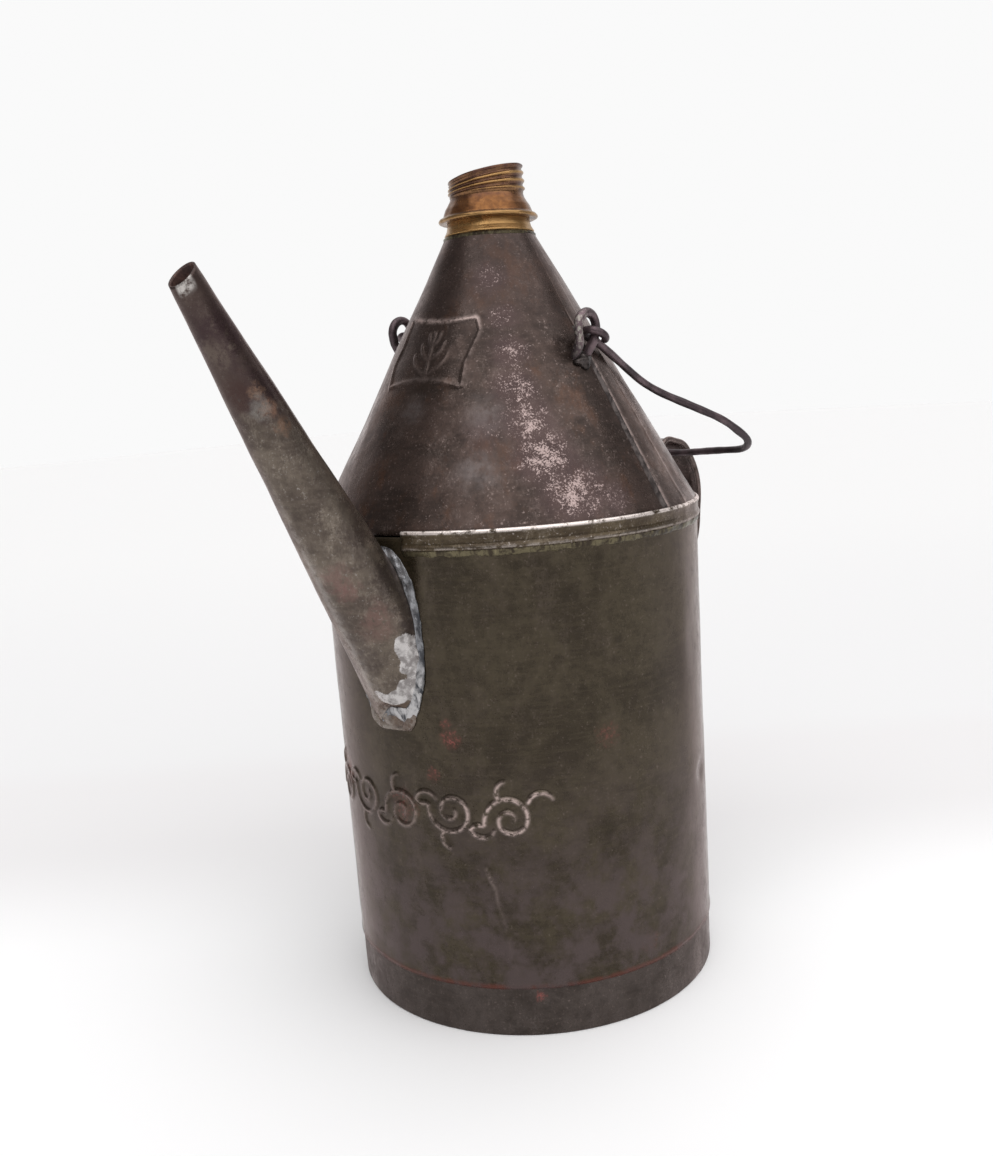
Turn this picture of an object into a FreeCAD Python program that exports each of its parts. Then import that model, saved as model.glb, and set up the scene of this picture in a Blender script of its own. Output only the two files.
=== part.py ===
"""A tinsmith's oil can: cylinder body, cone top, brass filler neck, long tapered spout,
wire bail on two ears and a strap handle at the back.

Millimetres. The origin is the centre of the foot ring, on the plane the can stands on.
+Z is up, the spout points towards -Y, the strap handle is at +Y, the ears are at -X and +X.
"""
import FreeCAD
import Part
import math
import os

from FreeCAD import Vector

os.makedirs("parts", exist_ok=True)

# ---- driving dimensions ----
SHEET = 0.6                  # tinplate thickness

BODY_R_LOW = 80.0            # outside radius of the body at its lower edge
BODY_R_TOP = 81.5            # the body widens a little towards the shoulder
BODY_LOW_Z = 20.6            # lower edge of the body, lapped over the foot band
BODY_TOP_Z = 203.0
FOOT_STEP_Z = 19.0           # above here the foot band is drawn in, to slip up inside the body
FOOT_DRAWN_IN = 0.6          # by this much at its top edge
FOOT_LAP_TOP_Z = 30.0
FOOT_HEM_HEIGHT = 3.0
BOTTOM_Z = 14.0              # underside of the recessed bottom disc
BOTTOM_FLANGE_Z = 7.0        # lower edge of the disc's turned-down flange
BODY_SEAM_WIDTH = 6.0

SHOULDER_Z = 205.0           # the cone starts here
CONE_TOP_Z = 319.8
CONE_TOP_R = 18.7
CONE_SKIRT_LOW_Z = 196.0     # the cone's straight skirt reaches down inside the body
CONE_SKIRT_R = 80.8
LAP_DEGREES = 8.0            # lap of the rear cone half over the front one
LAP_SEAT_DEGREES = 1.5       # where the raised lap stands on its own sheet

BAND_LOW_Z = 197.6
BAND_TOP_Z = 205.5
BAND_PROUD = 1.0
BAND_BEAD_R = 0.9
BAND_GAP_DEGREES = 9.9       # half of the gap that the band leaves for the spout

NECK_WALL = 0.8
NECK_BORE_R = 14.8           # clear bore of the threaded filler
COLLAR_LIP_R = 21.0
COLLAR_LIP_Z = 325.4
THREAD_LOW_Z = 336.6
THREAD_PITCH = 3.2
THREAD_TURNS = 3
THREAD_ROOT_R = 15.5
THREAD_CREST_R = 16.2
RIM_TOP_Z = 347.4

SPOUT_LEAN = 29.3            # degrees from upright
SPOUT_TIP_Y = -156.1         # centre of the mouth
SPOUT_TIP_Z = 299.9
SPOUT_TIP_R = 5.6
SPOUT_GROWTH = 0.0744        # radius gained per millimetre towards the root
SPOUT_LENGTH = 200.0
SPOUT_MOUTH_SKEW = 16.0      # the mouth is cut this much steeper than square
SPOUT_TAB_WIDTH = 21.0
SPOUT_TAB_Z = 129.5
SPOUT_TAB_HEIGHT = 12.0

HINGE_Y = -5.0               # the ears stand just in front of the cone's seams
HINGE_Z = 280.3              # bail pivot, midway between the ears
HINGE_TILT = 3.3             # degrees: the ear at +X sits lower than the one at -X
EAR_X = 51.5
EAR_RING_R = 6.0             # the rounded top of the eye, to the middle of the wire
EAR_WIRE_R = 1.9
EAR_KNEE_DROP = 5.0          # the legs run down this far, then bend in towards the cone
EAR_KNEE_Y = 4.75
EAR_FOOT_DROP = 15.0
EAR_FOOT_Y = 2.6
EAR_FOOT_IN = 5.8
EAR_PAD_R = 6.2
EAR_PAD_DROP = 13.4
EAR_PAD_HEIGHT = 3.4

BAIL_WIRE_R = 1.65
BAIL_EYE_R = 4.6             # to the middle of the wire
BAIL_REST = 29.5             # degrees below level, lying back in the dip of the strap handle
BAIL_REACH = 121.0           # from the pivot to the middle of the grip

HANDLE_WIDTH = 26.0          # between the middles of the two rolled edges
HANDLE_SHEET = 1.0
HANDLE_HEM_R = 1.4


# ---- helpers ----
def revolved(points, start=0.0, sweep=360.0):
    """Turn a closed (radius, height) outline about Z, from the angle start (+X is 0)."""
    corners = [Vector(r, 0, z) for r, z in points]
    face = Part.Face(Part.makePolygon(corners + corners[:1]))
    solid = face.revolve(Vector(0, 0, 0), Vector(0, 0, 1), sweep)
    solid.rotate(Vector(0, 0, 0), Vector(0, 0, 1), start)
    return solid


def rounded_path(points, radii):
    """Straight runs through the points, joined at the inner ones by tangent arcs."""
    edges = []
    last = points[0]
    for before, corner, after, radius in zip(points, points[1:], points[2:], radii):
        back = (before - corner).normalize()
        ahead = (after - corner).normalize()
        half_turn = (math.pi - back.getAngle(ahead)) / 2
        reach = radius * math.tan(half_turn)
        start = corner + back * reach
        end = corner + ahead * reach
        inward = (back + ahead).normalize()
        middle = corner + inward * (radius / math.cos(half_turn) - radius)
        edges.append(Part.LineSegment(last, start).toShape())
        edges.append(Part.Arc(start, middle, end).toShape())
        last = end
    edges.append(Part.LineSegment(last, points[-1]).toShape())
    return Part.Wire(edges)


def swept(path, profile, binormal):
    """Sweep a closed wire along a path that lies in the plane across binormal."""
    pipe = Part.BRepOffsetAPI.MakePipeShell(path)
    pipe.setBiNormalMode(binormal)
    pipe.add(profile)
    pipe.build()
    pipe.makeSolid()
    return pipe.shape()


def wire_along(path, radius, binormal):
    """A round wire along the path."""
    first = path.OrderedEdges[0]
    start = first.valueAt(first.FirstParameter)
    tangent = first.tangentAt(first.FirstParameter)
    circle = Part.Wire(Part.makeCircle(radius, start, tangent))
    return swept(path, circle, binormal)


def export(shape, node):
    shape = shape.removeSplitter()
    solids = shape.Solids
    if len(solids) == 1:
        shape = solids[0]
    shape.exportStep("parts/%s.step" % node)
    print("%-22s solids %d valid %s volume %9.1f mm3" %
          (node, len(solids), shape.isValid(), shape.Volume))


# ---- shared geometry ----
CONE_SLOPE = (BODY_R_TOP - CONE_TOP_R) / (CONE_TOP_Z - SHOULDER_Z)
CONE_WALL = SHEET * math.hypot(1.0, CONE_SLOPE)      # wall measured along the radius


def body_r(z):
    """Outside radius of the body at a height."""
    share = (z - BODY_LOW_Z) / (BODY_TOP_Z - BODY_LOW_Z)
    return BODY_R_LOW + (BODY_R_TOP - BODY_R_LOW) * share


def cone_r(z):
    """Outside radius of the cone at a height."""
    return BODY_R_TOP - CONE_SLOPE * (z - SHOULDER_Z)


def can_volume(extra=0.0):
    """The whole can filled solid, a little oversize if extra is given."""
    return revolved([(0, 0), (BODY_R_LOW + extra, 0), (body_r(BODY_LOW_Z) + extra, BODY_LOW_Z),
                     (BODY_R_TOP + extra, BODY_TOP_Z), (BODY_R_TOP + extra, SHOULDER_Z),
                     (CONE_TOP_R + extra, CONE_TOP_Z), (0, CONE_TOP_Z)])


SPOUT_DOWN = Vector(0, math.sin(math.radians(SPOUT_LEAN)), -math.cos(math.radians(SPOUT_LEAN)))
SPOUT_TIP = Vector(0, SPOUT_TIP_Y, SPOUT_TIP_Z)


def spout_cone(extra, overshoot=6.0):
    """The spout's outer cone, grown by extra, from just past the mouth down into the body."""
    start = SPOUT_TIP - SPOUT_DOWN * overshoot
    low = SPOUT_TIP_R - SPOUT_GROWTH * overshoot + extra
    high = SPOUT_TIP_R + SPOUT_GROWTH * SPOUT_LENGTH + extra
    return Part.makeCone(low, high, SPOUT_LENGTH + overshoot, start, SPOUT_DOWN)


CAN = can_volume()

# ---- body, foot and bottom ----
body_outline = [(BODY_R_LOW, BODY_LOW_Z), (BODY_R_TOP, BODY_TOP_Z),
                (BODY_R_TOP - SHEET, BODY_TOP_Z), (BODY_R_LOW - SHEET, BODY_LOW_Z)]
body_shell = revolved(body_outline)
seam_half = math.degrees(BODY_SEAM_WIDTH / 2 / BODY_R_TOP)
seam_low = BODY_LOW_Z + 1.0
seam_top = BAND_LOW_Z - 3.0
body_seam = revolved([(body_r(seam_low) - SHEET / 2, seam_low), (body_r(seam_low) + SHEET, seam_low),
                      (body_r(seam_top) + SHEET, seam_top), (body_r(seam_top) - SHEET / 2, seam_top)],
                     90 - seam_half, 2 * seam_half)
body_shell = body_shell.fuse(body_seam).cut(spout_cone(-SHEET))

foot_r = BODY_R_LOW - SHEET
lap_r = foot_r - FOOT_DRAWN_IN
foot_band = revolved([(foot_r, 0), (foot_r, FOOT_STEP_Z), (lap_r, FOOT_LAP_TOP_Z),
                      (lap_r - SHEET, FOOT_LAP_TOP_Z), (foot_r - SHEET, FOOT_STEP_Z),
                      (foot_r - SHEET, FOOT_HEM_HEIGHT), (foot_r - 2 * SHEET, FOOT_HEM_HEIGHT),
                      (foot_r - 2 * SHEET, 0)])
foot_solder = revolved([(lap_r, BODY_LOW_Z - 1.1), (BODY_R_LOW - 0.1, BODY_LOW_Z), (lap_r, BODY_LOW_Z)])
foot_solder = foot_solder.cut(foot_band)

disc_r = foot_r - SHEET
bottom_disc = revolved([(0, BOTTOM_Z), (disc_r - SHEET, BOTTOM_Z), (disc_r - SHEET, BOTTOM_FLANGE_Z),
                        (disc_r, BOTTOM_FLANGE_Z), (disc_r, BOTTOM_Z + SHEET), (0, BOTTOM_Z + SHEET)])
bottom_solder = revolved([(disc_r - SHEET, BOTTOM_FLANGE_Z), (disc_r, BOTTOM_FLANGE_Z - 1.6),
                          (disc_r, BOTTOM_FLANGE_Z)])

# ---- cone top, in two halves lapped under the ears ----
skirt_r = CONE_SKIRT_R
cone_outline = [(skirt_r, CONE_SKIRT_LOW_Z), (skirt_r, BODY_TOP_Z), (BODY_R_TOP, SHOULDER_Z),
                (CONE_TOP_R, CONE_TOP_Z), (CONE_TOP_R - CONE_WALL, CONE_TOP_Z),
                (BODY_R_TOP - CONE_WALL, SHOULDER_Z - 0.3), (skirt_r - SHEET, BODY_TOP_Z - 0.6),
                (skirt_r - SHEET, CONE_SKIRT_LOW_Z)]
lap_low_z = BAND_TOP_Z + 0.3
lap_top_z = CONE_TOP_Z - 1.0
lap_outline = [(cone_r(lap_low_z), lap_low_z), (cone_r(lap_low_z) + CONE_WALL, lap_low_z),
               (cone_r(lap_top_z) + CONE_WALL, lap_top_z), (cone_r(lap_top_z), lap_top_z)]
cone_front = revolved(cone_outline, 180 - LAP_DEGREES, 180 + 2 * LAP_DEGREES)
cone_rear = revolved(cone_outline, LAP_DEGREES, 180 - 2 * LAP_DEGREES)
lap_sweep = LAP_DEGREES + LAP_SEAT_DEGREES
for lap_start in (0.0, 180.0 - lap_sweep):
    cone_rear = cone_rear.fuse(revolved(lap_outline, lap_start, lap_sweep))

# Thin solder lines along the free edges of the two laps.
line_outline = [(cone_r(lap_low_z), lap_low_z), (cone_r(lap_low_z) + SHEET, lap_low_z),
                (cone_r(lap_top_z) + SHEET, lap_top_z), (cone_r(lap_top_z), lap_top_z)]
line_degrees = 0.8
cone_seam_solder = Part.makeCompound([revolved(line_outline, -line_degrees, line_degrees),
                                      revolved(line_outline, 180.0, line_degrees)])

# ---- shoulder band, open where the spout comes up ----
band_start = -90 + BAND_GAP_DEGREES
band_sweep = 360 - 2 * BAND_GAP_DEGREES
band_in = BODY_R_TOP
band_out = BODY_R_TOP + BAND_PROUD
band_plain = revolved([(band_in, BAND_LOW_Z), (band_out, BAND_LOW_Z), (band_out, BAND_TOP_Z - 0.4),
                       (band_out - 0.4, BAND_TOP_Z), (band_in, BAND_TOP_Z)], band_start, band_sweep)
bead_z = BAND_LOW_Z + BAND_BEAD_R
bead_points = []
for step in range(9):
    turn = math.radians(-90 + 180 * step / 8)
    bead_points.append((band_out - 0.3 + BAND_BEAD_R * math.cos(turn), bead_z + BAND_BEAD_R * math.sin(turn)))
band_bead = revolved(bead_points, band_start, band_sweep)
shoulder_band = band_plain.fuse(band_bead)
shoulder_solder = revolved([(body_r(BAND_LOW_Z - 2.2) + 0.05, BAND_LOW_Z - 2.2), (band_out - 0.2, BAND_LOW_Z),
                            (band_in, BAND_LOW_Z)], band_start, band_sweep)

# ---- brass neck ring and threaded filler collar ----
ring_low_z = CONE_TOP_Z - 5.0
ring_top_z = COLLAR_LIP_Z + 1.0      # the ring stands a little way up inside the collar
ring_top_r = 17.2
inside_low = cone_r(ring_low_z) - CONE_WALL
inside_top = cone_r(CONE_TOP_Z) - CONE_WALL
neck_ring = revolved([(inside_low, ring_low_z), (inside_top, CONE_TOP_Z), (CONE_TOP_R + 0.2, CONE_TOP_Z),
                      (CONE_TOP_R + 0.2, CONE_TOP_Z + 0.9), (CONE_TOP_R - 0.5, CONE_TOP_Z + 1.2),
                      (ring_top_r, COLLAR_LIP_Z - 0.4), (ring_top_r, ring_top_z),
                      (ring_top_r - NECK_WALL, ring_top_z),
                      (inside_top - NECK_WALL, CONE_TOP_Z - 0.4), (inside_low - NECK_WALL, ring_low_z)])
neck_solder = revolved([(CONE_TOP_R, CONE_TOP_Z), (cone_r(CONE_TOP_Z - 1.6), CONE_TOP_Z - 1.6),
                        (CONE_TOP_R + 0.9, CONE_TOP_Z - 0.6), (CONE_TOP_R + 0.2, CONE_TOP_Z)])
neck_solder = neck_solder.cut(cone_rear).cut(cone_seam_solder)

# The outline runs up the outside from the lip, through the flared skirt and the rolled
# thread to the rim, and back down inside.
collar_outer = [(ring_top_r, COLLAR_LIP_Z), (COLLAR_LIP_R - 0.8, COLLAR_LIP_Z),
                (COLLAR_LIP_R, COLLAR_LIP_Z + 0.6), (COLLAR_LIP_R, COLLAR_LIP_Z + 1.5),
                (COLLAR_LIP_R - 0.7, COLLAR_LIP_Z + 2.0),
                (19.0, COLLAR_LIP_Z + 2.3), (18.4, 329.5), (17.0, 332.0), (15.9, 334.2), (15.4, THREAD_LOW_Z)]
thread_steps = 8
for step in range(1, THREAD_TURNS * thread_steps + 1):
    wave = (1 - math.cos(2 * math.pi * step / thread_steps)) / 2
    collar_outer.append((THREAD_ROOT_R + (THREAD_CREST_R - THREAD_ROOT_R) * wave,
                         THREAD_LOW_Z + THREAD_PITCH * step / thread_steps))
collar_outer += [(16.3, RIM_TOP_Z - 0.8), (16.3, RIM_TOP_Z - 0.3), (16.0, RIM_TOP_Z)]
collar_inner = [(NECK_BORE_R, RIM_TOP_Z), (NECK_BORE_R, THREAD_LOW_Z), (16.0, 332.0), (17.2, 329.0),
                (17.9, COLLAR_LIP_Z + 1.4), (ring_top_r, COLLAR_LIP_Z + 1.0)]
filler_collar = revolved(collar_outer + collar_inner)

# ---- spout ----
mouth_angle = math.radians(SPOUT_LEAN + SPOUT_MOUTH_SKEW)
mouth_normal = Vector(0, -math.sin(mouth_angle), math.cos(mouth_angle))
beyond_mouth = Part.makeCylinder(30.0, 30.0, SPOUT_TIP, mouth_normal)
spout_tube = spout_cone(0.0).cut(spout_cone(-SHEET, 7.0)).cut(beyond_mouth).cut(CAN)
# The lower end of the sheet is beaten out into a rounded tab on the body.
tab_post = Part.makeCylinder(SPOUT_TAB_WIDTH / 2, 40.0, Vector(0, -100.0, SPOUT_TAB_Z), Vector(0, 1, 0))
squash = FreeCAD.Matrix()
squash.A33 = SPOUT_TAB_HEIGHT / SPOUT_TAB_WIDTH
tab_post.translate(Vector(0, 0, -SPOUT_TAB_Z))
tab_post = tab_post.transformGeometry(squash)
tab_post.translate(Vector(0, 0, SPOUT_TAB_Z))
spout_tab = can_volume(1.0).common(tab_post).cut(CAN).cut(spout_cone(-SHEET))
spout_tube = spout_tube.fuse(spout_tab)

fillet_reach = 2.6
fillet_height = 1.6
spout_solder = spout_cone(fillet_reach).cut(spout_cone(0.0)).common(can_volume(fillet_height)).cut(CAN)
spout_solder = spout_solder.cut(tab_post).cut(shoulder_band).cut(shoulder_solder)
spout_solder = max(spout_solder.Solids, key=lambda solid: solid.Volume)

# ---- ears ----
AXIS_TILT = FreeCAD.Rotation(Vector(0, 1, 0), HINGE_TILT)
HINGE_PLACE = FreeCAD.Placement(Vector(0, HINGE_Y, HINGE_Z), AXIS_TILT)


def on_hinge(shape):
    """Move a shape from the hinge's own frame (axis along X) to the can."""
    placed = shape.copy()
    placed.Placement = HINGE_PLACE.multiply(placed.Placement)
    return placed


def ear(side):
    """A wire eye, round at the top, whose two legs bend in and end on the cone."""
    top = Vector(side * EAR_X, 0, 0)
    section = Part.Face(Part.Wire(Part.makeCircle(EAR_WIRE_R, top + Vector(0, EAR_RING_R, 0))))
    shape = section.revolve(top, Vector(1, 0, 0), 180)
    for across in (-1, 1):
        start = top + Vector(0, across * EAR_RING_R, 0)
        knee = top + Vector(0, across * EAR_KNEE_Y, -EAR_KNEE_DROP)
        foot = top + Vector(-side * EAR_FOOT_IN, across * EAR_FOOT_Y, -EAR_FOOT_DROP)
        for high, low in ((start, knee), (knee, foot)):
            leg = Part.makeCylinder(EAR_WIRE_R, (low - high).Length, high, low - high)
            shape = shape.fuse(leg).fuse(Part.makeSphere(EAR_WIRE_R, high))
    shape = on_hinge(shape).cut(CAN).cut(cone_rear).cut(cone_seam_solder)
    return max(shape.Solids, key=lambda solid: solid.Volume)


def ear_pad(side, ear_shape):
    """The mound of solder that holds the legs to the cone."""
    pad_z = HINGE_Z - side * EAR_X * math.tan(math.radians(HINGE_TILT)) - EAR_PAD_DROP
    normal = Vector(side, 0, CONE_SLOPE).normalize()
    foot = Vector(side * cone_r(pad_z), HINGE_Y, pad_z) - normal
    pad = Part.makeCone(EAR_PAD_R, EAR_PAD_R * 0.55, EAR_PAD_HEIGHT, foot, normal)
    return pad.cut(CAN).cut(cone_rear).cut(cone_seam_solder).cut(ear_shape)


ear_right = ear(1)
ear_left = ear(-1)
ear_solder_right = ear_pad(1, ear_right)
ear_solder_left = ear_pad(-1, ear_left)

# ---- bail ----
# Drawn flat in the hinge's own frame: from the middle of the grip round to one eye.
eye_y = EAR_RING_R
half = [Vector(30.0, BAIL_REACH, 0), Vector(78.0, BAIL_REACH - 9.5, 0), Vector(73.0, 83.0, 0),
        Vector(52.0, 52.0, 0), Vector(EAR_X - 2.4, eye_y + 3.9, 0)]
half_radii = [80.0, 15.0, 30.0, 40.0]
mirrored = [Vector(-point.x, point.y, 0) for point in reversed(half)]
bail_path = rounded_path(mirrored + half, half_radii[::-1] + half_radii)
bail_handle = wire_along(bail_path, BAIL_WIRE_R, Vector(0, 0, 1))
for side in (-1, 1):
    eye = Part.makeTorus(BAIL_EYE_R, BAIL_WIRE_R, Vector(side * EAR_X, eye_y, 0), Vector(0, 0, 1))
    bail_handle = bail_handle.fuse(eye)
bail_handle.rotate(Vector(0, 0, 0), Vector(1, 0, 0), -BAIL_REST)
bail_handle = on_hinge(bail_handle)

# ---- strap handle ----
top_foot_y = BODY_R_TOP + BAND_PROUD + BAND_BEAD_R - 0.3 + HANDLE_SHEET / 2
low_foot_y = body_r(130.0) + SHEET + HANDLE_SHEET / 2
strap_points = [Vector(0, top_foot_y, 188.0), Vector(0, top_foot_y, 196.7), Vector(0, 110.5, 225.8),
                Vector(0, 129.0, 221.5), Vector(0, 142.5, 202.0), Vector(0, 137.0, 172.0),
                Vector(0, 110.0, 141.0), Vector(0, low_foot_y, 141.0), Vector(0, low_foot_y, 122.0)]
strap_path = rounded_path(strap_points, [5.0, 9.0, 14.0, 30.0, 40.0, 26.0, 7.0])
hem_x = HANDLE_WIDTH / 2
hem_reach = math.sqrt(HANDLE_HEM_R ** 2 - (HANDLE_SHEET / 2) ** 2)
flat_x = hem_x - hem_reach


def strap_corner(side, face):
    """Where the flat of the strap runs into a rolled edge."""
    return strap_points[0] + Vector(side * flat_x, face * HANDLE_SHEET / 2, 0)


strap_edges = []
for side in (-1, 1):
    outermost = strap_points[0] + Vector(side * (hem_x + HANDLE_HEM_R), 0, 0)
    strap_edges.append(Part.LineSegment(strap_corner(-side, -side), strap_corner(side, -side)).toShape())
    strap_edges.append(Part.Arc(strap_corner(side, -side), outermost, strap_corner(side, side)).toShape())
rear_handle = swept(strap_path, Part.Wire(strap_edges), Vector(1, 0, 0))
rear_handle = rear_handle.cut(CAN).cut(shoulder_band).cut(body_shell)


def foot_pad(low_z, top_z, reach):
    """Solder between a foot of the strap and the can."""
    width = HANDLE_WIDTH + 3.0
    depth = 14.0
    block = Part.makeBox(width, depth, top_z - low_z, Vector(-width / 2, reach - depth, low_z))
    return block.cut(CAN).cut(body_shell).cut(rear_handle).cut(shoulder_band).cut(shoulder_solder)


handle_solder_top = foot_pad(186.0, BAND_LOW_Z - 0.2, top_foot_y + 0.2)
handle_solder_bottom = foot_pad(120.5, 134.0, low_foot_y + 0.2)

# ---- one STEP file for each piece ----
NODES = {
    "body_shell": body_shell,
    "foot_band": foot_band,
    "foot_solder": foot_solder,
    "bottom_disc": bottom_disc,
    "bottom_solder": bottom_solder,
    "cone_front": cone_front,
    "cone_rear": cone_rear,
    "cone_seam_solder": cone_seam_solder,
    "shoulder_band": shoulder_band,
    "shoulder_solder": shoulder_solder,
    "neck_ring": neck_ring,
    "neck_solder": neck_solder,
    "filler_collar": filler_collar,
    "spout_tube": spout_tube,
    "spout_solder": spout_solder,
    "ear_left": ear_left,
    "ear_right": ear_right,
    "ear_solder_left": ear_solder_left,
    "ear_solder_right": ear_solder_right,
    "bail_handle": bail_handle,
    "rear_handle": rear_handle,
    "handle_solder_top": handle_solder_top,
    "handle_solder_bottom": handle_solder_bottom,
}

for node, shape in NODES.items():
    export(shape, node)
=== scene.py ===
"""Looks for the oil can: detailed sheet-metal meshes, procedural aged metals, floor, light and camera.

Meshes are worked out in millimetres in the row frame (+Z up, spout towards -Y, strap handle at +Y,
ears at -X and +X) and scaled to metres when they are made. An azimuth is in degrees from -Y
towards +X, so 0 is the spout, 90 the +X ear and 180 the strap handle.
"""
import math

import bpy
import numpy as np
from mathutils import Matrix, Vector


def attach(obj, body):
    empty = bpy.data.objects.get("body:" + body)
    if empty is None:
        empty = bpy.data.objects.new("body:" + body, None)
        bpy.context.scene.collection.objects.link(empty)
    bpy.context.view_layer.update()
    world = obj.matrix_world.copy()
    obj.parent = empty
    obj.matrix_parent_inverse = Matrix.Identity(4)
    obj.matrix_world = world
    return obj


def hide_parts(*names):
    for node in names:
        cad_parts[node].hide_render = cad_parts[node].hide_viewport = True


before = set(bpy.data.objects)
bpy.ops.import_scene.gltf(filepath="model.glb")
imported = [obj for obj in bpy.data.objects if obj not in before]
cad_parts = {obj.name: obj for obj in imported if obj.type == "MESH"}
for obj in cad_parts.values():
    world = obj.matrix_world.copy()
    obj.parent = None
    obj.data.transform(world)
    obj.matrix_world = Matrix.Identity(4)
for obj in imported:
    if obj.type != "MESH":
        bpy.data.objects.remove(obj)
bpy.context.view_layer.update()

MM = 0.001

# ---- the can's sizes, as in the CAD ----
SHEET = 0.6
BODY_R_LOW, BODY_LOW_Z = 80.0, 20.6
BODY_R_TOP, BODY_TOP_Z = 81.5, 203.0
FOOT_R, FOOT_STEP_Z, FOOT_TOP_Z = 79.4, 19.0, 30.0
SHOULDER_Z = 205.0
CONE_TOP_Z, CONE_TOP_R = 319.8, 18.7
CONE_LAP, SEAM_TOP_Z = 0.7, 279.0
BAND_LOW_Z, BAND_TOP_Z = 197.6, 205.5
BAND_GAP = 9.9
LIP_R, LIP_Z = 21.0, 325.4
THREAD_LOW_Z, THREAD_PITCH = 336.6, 3.2
NECK_BORE_R = 14.8
RIM_TOP_Z = 347.4
SPOUT_TIP = np.array([0.0, -156.1, 299.9])
SPOUT_LEAN = math.radians(29.3)
SPOUT_TIP_R, SPOUT_GROWTH = 5.6, 0.0744
MOUTH_SKEW = math.radians(16.0)
HINGE = np.array([0.0, -5.0, 280.3])
HINGE_TILT = math.radians(3.3)
EAR_X, EAR_RING_R, EAR_WIRE_R = 51.5, 6.0, 1.9
BAIL_WIRE_R, BAIL_EYE_R = 1.65, 4.6
WIRE_SIDES = 16
BAIL_REST, BAIL_REACH = math.radians(29.5), 121.0
HANDLE_HALF_WIDTH, HANDLE_SHEET, HANDLE_HEM_R = 13.0, 1.0, 1.4

# Radii at which the body, the cone's cartouche and the spout's root are laid out flat.
BODY_FLAT_R, CARTOUCHE_FLAT_R, ROOT_FLAT_R = 80.5, 46.0, 81.0

SPOUT_DOWN = np.array([0, math.sin(SPOUT_LEAN), -math.cos(SPOUT_LEAN)])
SPOUT_UNDER = np.array([0, -math.cos(SPOUT_LEAN), -math.sin(SPOUT_LEAN)])


def body_r(z):
    """Outside radius of the plain body, which widens a little upwards."""
    return BODY_R_LOW + (BODY_R_TOP - BODY_R_LOW) * (z - BODY_LOW_Z) / (BODY_TOP_Z - BODY_LOW_Z)


def cone_r(z):
    """Outside radius of the plain cone."""
    return BODY_R_TOP - (BODY_R_TOP - CONE_TOP_R) * (z - SHOULDER_Z) / (CONE_TOP_Z - SHOULDER_Z)


def can_r(z):
    """Outside radius of the plain can at a height."""
    return np.where(z < SHOULDER_Z, body_r(z), cone_r(z))


def around(azimuth, radius, z):
    """Points at azimuths in degrees, radii and heights."""
    turn, radius, z = np.broadcast_arrays(np.radians(azimuth), radius, z)
    return np.stack([radius * np.sin(turn), -radius * np.cos(turn), z], axis=-1)


def spout_point(along, turn, extra=0.0):
    """A point on the spout: millimetres from the mouth, and an angle round it (90 is the under side)."""
    radius = SPOUT_TIP_R + SPOUT_GROWTH * along + extra
    angle = np.radians(turn)
    right = (np.cos(angle) * radius)[..., None] * np.array([1.0, 0.0, 0.0])
    under = (np.sin(angle) * radius)[..., None] * SPOUT_UNDER
    return SPOUT_TIP + along[..., None] * SPOUT_DOWN + right + under


def laid_flat(azimuth, z, radius):
    """The surface of the can unrolled: millimetres across and up."""
    return np.stack([np.radians(azimuth) * radius, z], axis=-1)


# ---- shaping helpers ----
def wobble(points, size, seed, waves=14):
    """Smooth random relief with features of about that size and a spread of about 1."""
    rng = np.random.default_rng(seed)
    total = np.zeros(points.shape[:-1])
    for _ in range(waves):
        direction = rng.normal(size=3)
        direction /= np.linalg.norm(direction)
        length = size * rng.uniform(0.6, 1.7)
        total += np.sin(points @ direction * (2 * math.pi / length) + rng.uniform(0, 2 * math.pi))
    return total / math.sqrt(waves / 2)


def smooth(x, low, high):
    """0 below low, 1 above high, and an S curve between."""
    t = np.clip((x - low) / (high - low), 0.0, 1.0)
    return t * t * (3 - 2 * t)


def hump(x, middle, width):
    """A bell curve, 1 at the middle."""
    return np.exp(-((x - middle) / width) ** 2)


def steps(*runs):
    """Values from runs of (start, end, spacing), each run ending where the next one starts."""
    values = []
    for start, end, spacing in runs:
        count = max(1, int(round((end - start) / spacing)))
        values.append(np.linspace(start, end, count, endpoint=False))
    return np.concatenate(values + [[runs[-1][1]]])


def grid_faces(rows, cols, close_rows, close_cols):
    """The quads of a grid of points, joined up at its ends where asked."""
    r, c = np.meshgrid(np.arange(rows if close_rows else rows - 1),
                       np.arange(cols if close_cols else cols - 1), indexing="ij")
    r2, c2 = (r + 1) % rows, (c + 1) % cols
    return np.stack([r * cols + c, r * cols + c2, r2 * cols + c2, r2 * cols + c], axis=-1).reshape(-1, 4)


def add_object(name, data):
    """Put a mesh, light or camera into the scene as an object."""
    made = bpy.data.objects.new(name, data)
    bpy.context.scene.collection.objects.link(made)
    return made


def set_mark(piece, key, values):
    """Keep a number at each point of a piece, for its material."""
    layer = piece.data.attributes.new(key, "FLOAT", "POINT")
    layer.data.foreach_set("value", np.asarray(values, dtype=np.float32).ravel())


def make_piece(name, points, faces, marks=None):
    """A smooth mesh object from points in millimetres; marks are named numbers kept at each point."""
    mesh = bpy.data.meshes.new(name)
    mesh.from_pydata((points.reshape(-1, 3) * MM).tolist(), [], [list(map(int, face)) for face in faces])
    mesh.polygons.foreach_set("use_smooth", [True] * len(mesh.polygons))
    mesh.update()
    piece = add_object(name, mesh)
    for key, values in (marks or {}).items():
        set_mark(piece, key, values)
    return piece


def thicken(piece):
    """Give an open sheet its thickness, inwards."""
    solid = piece.modifiers.new("sheet", "SOLIDIFY")
    solid.thickness = SHEET * MM
    solid.offset = -1.0
    return piece


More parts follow.
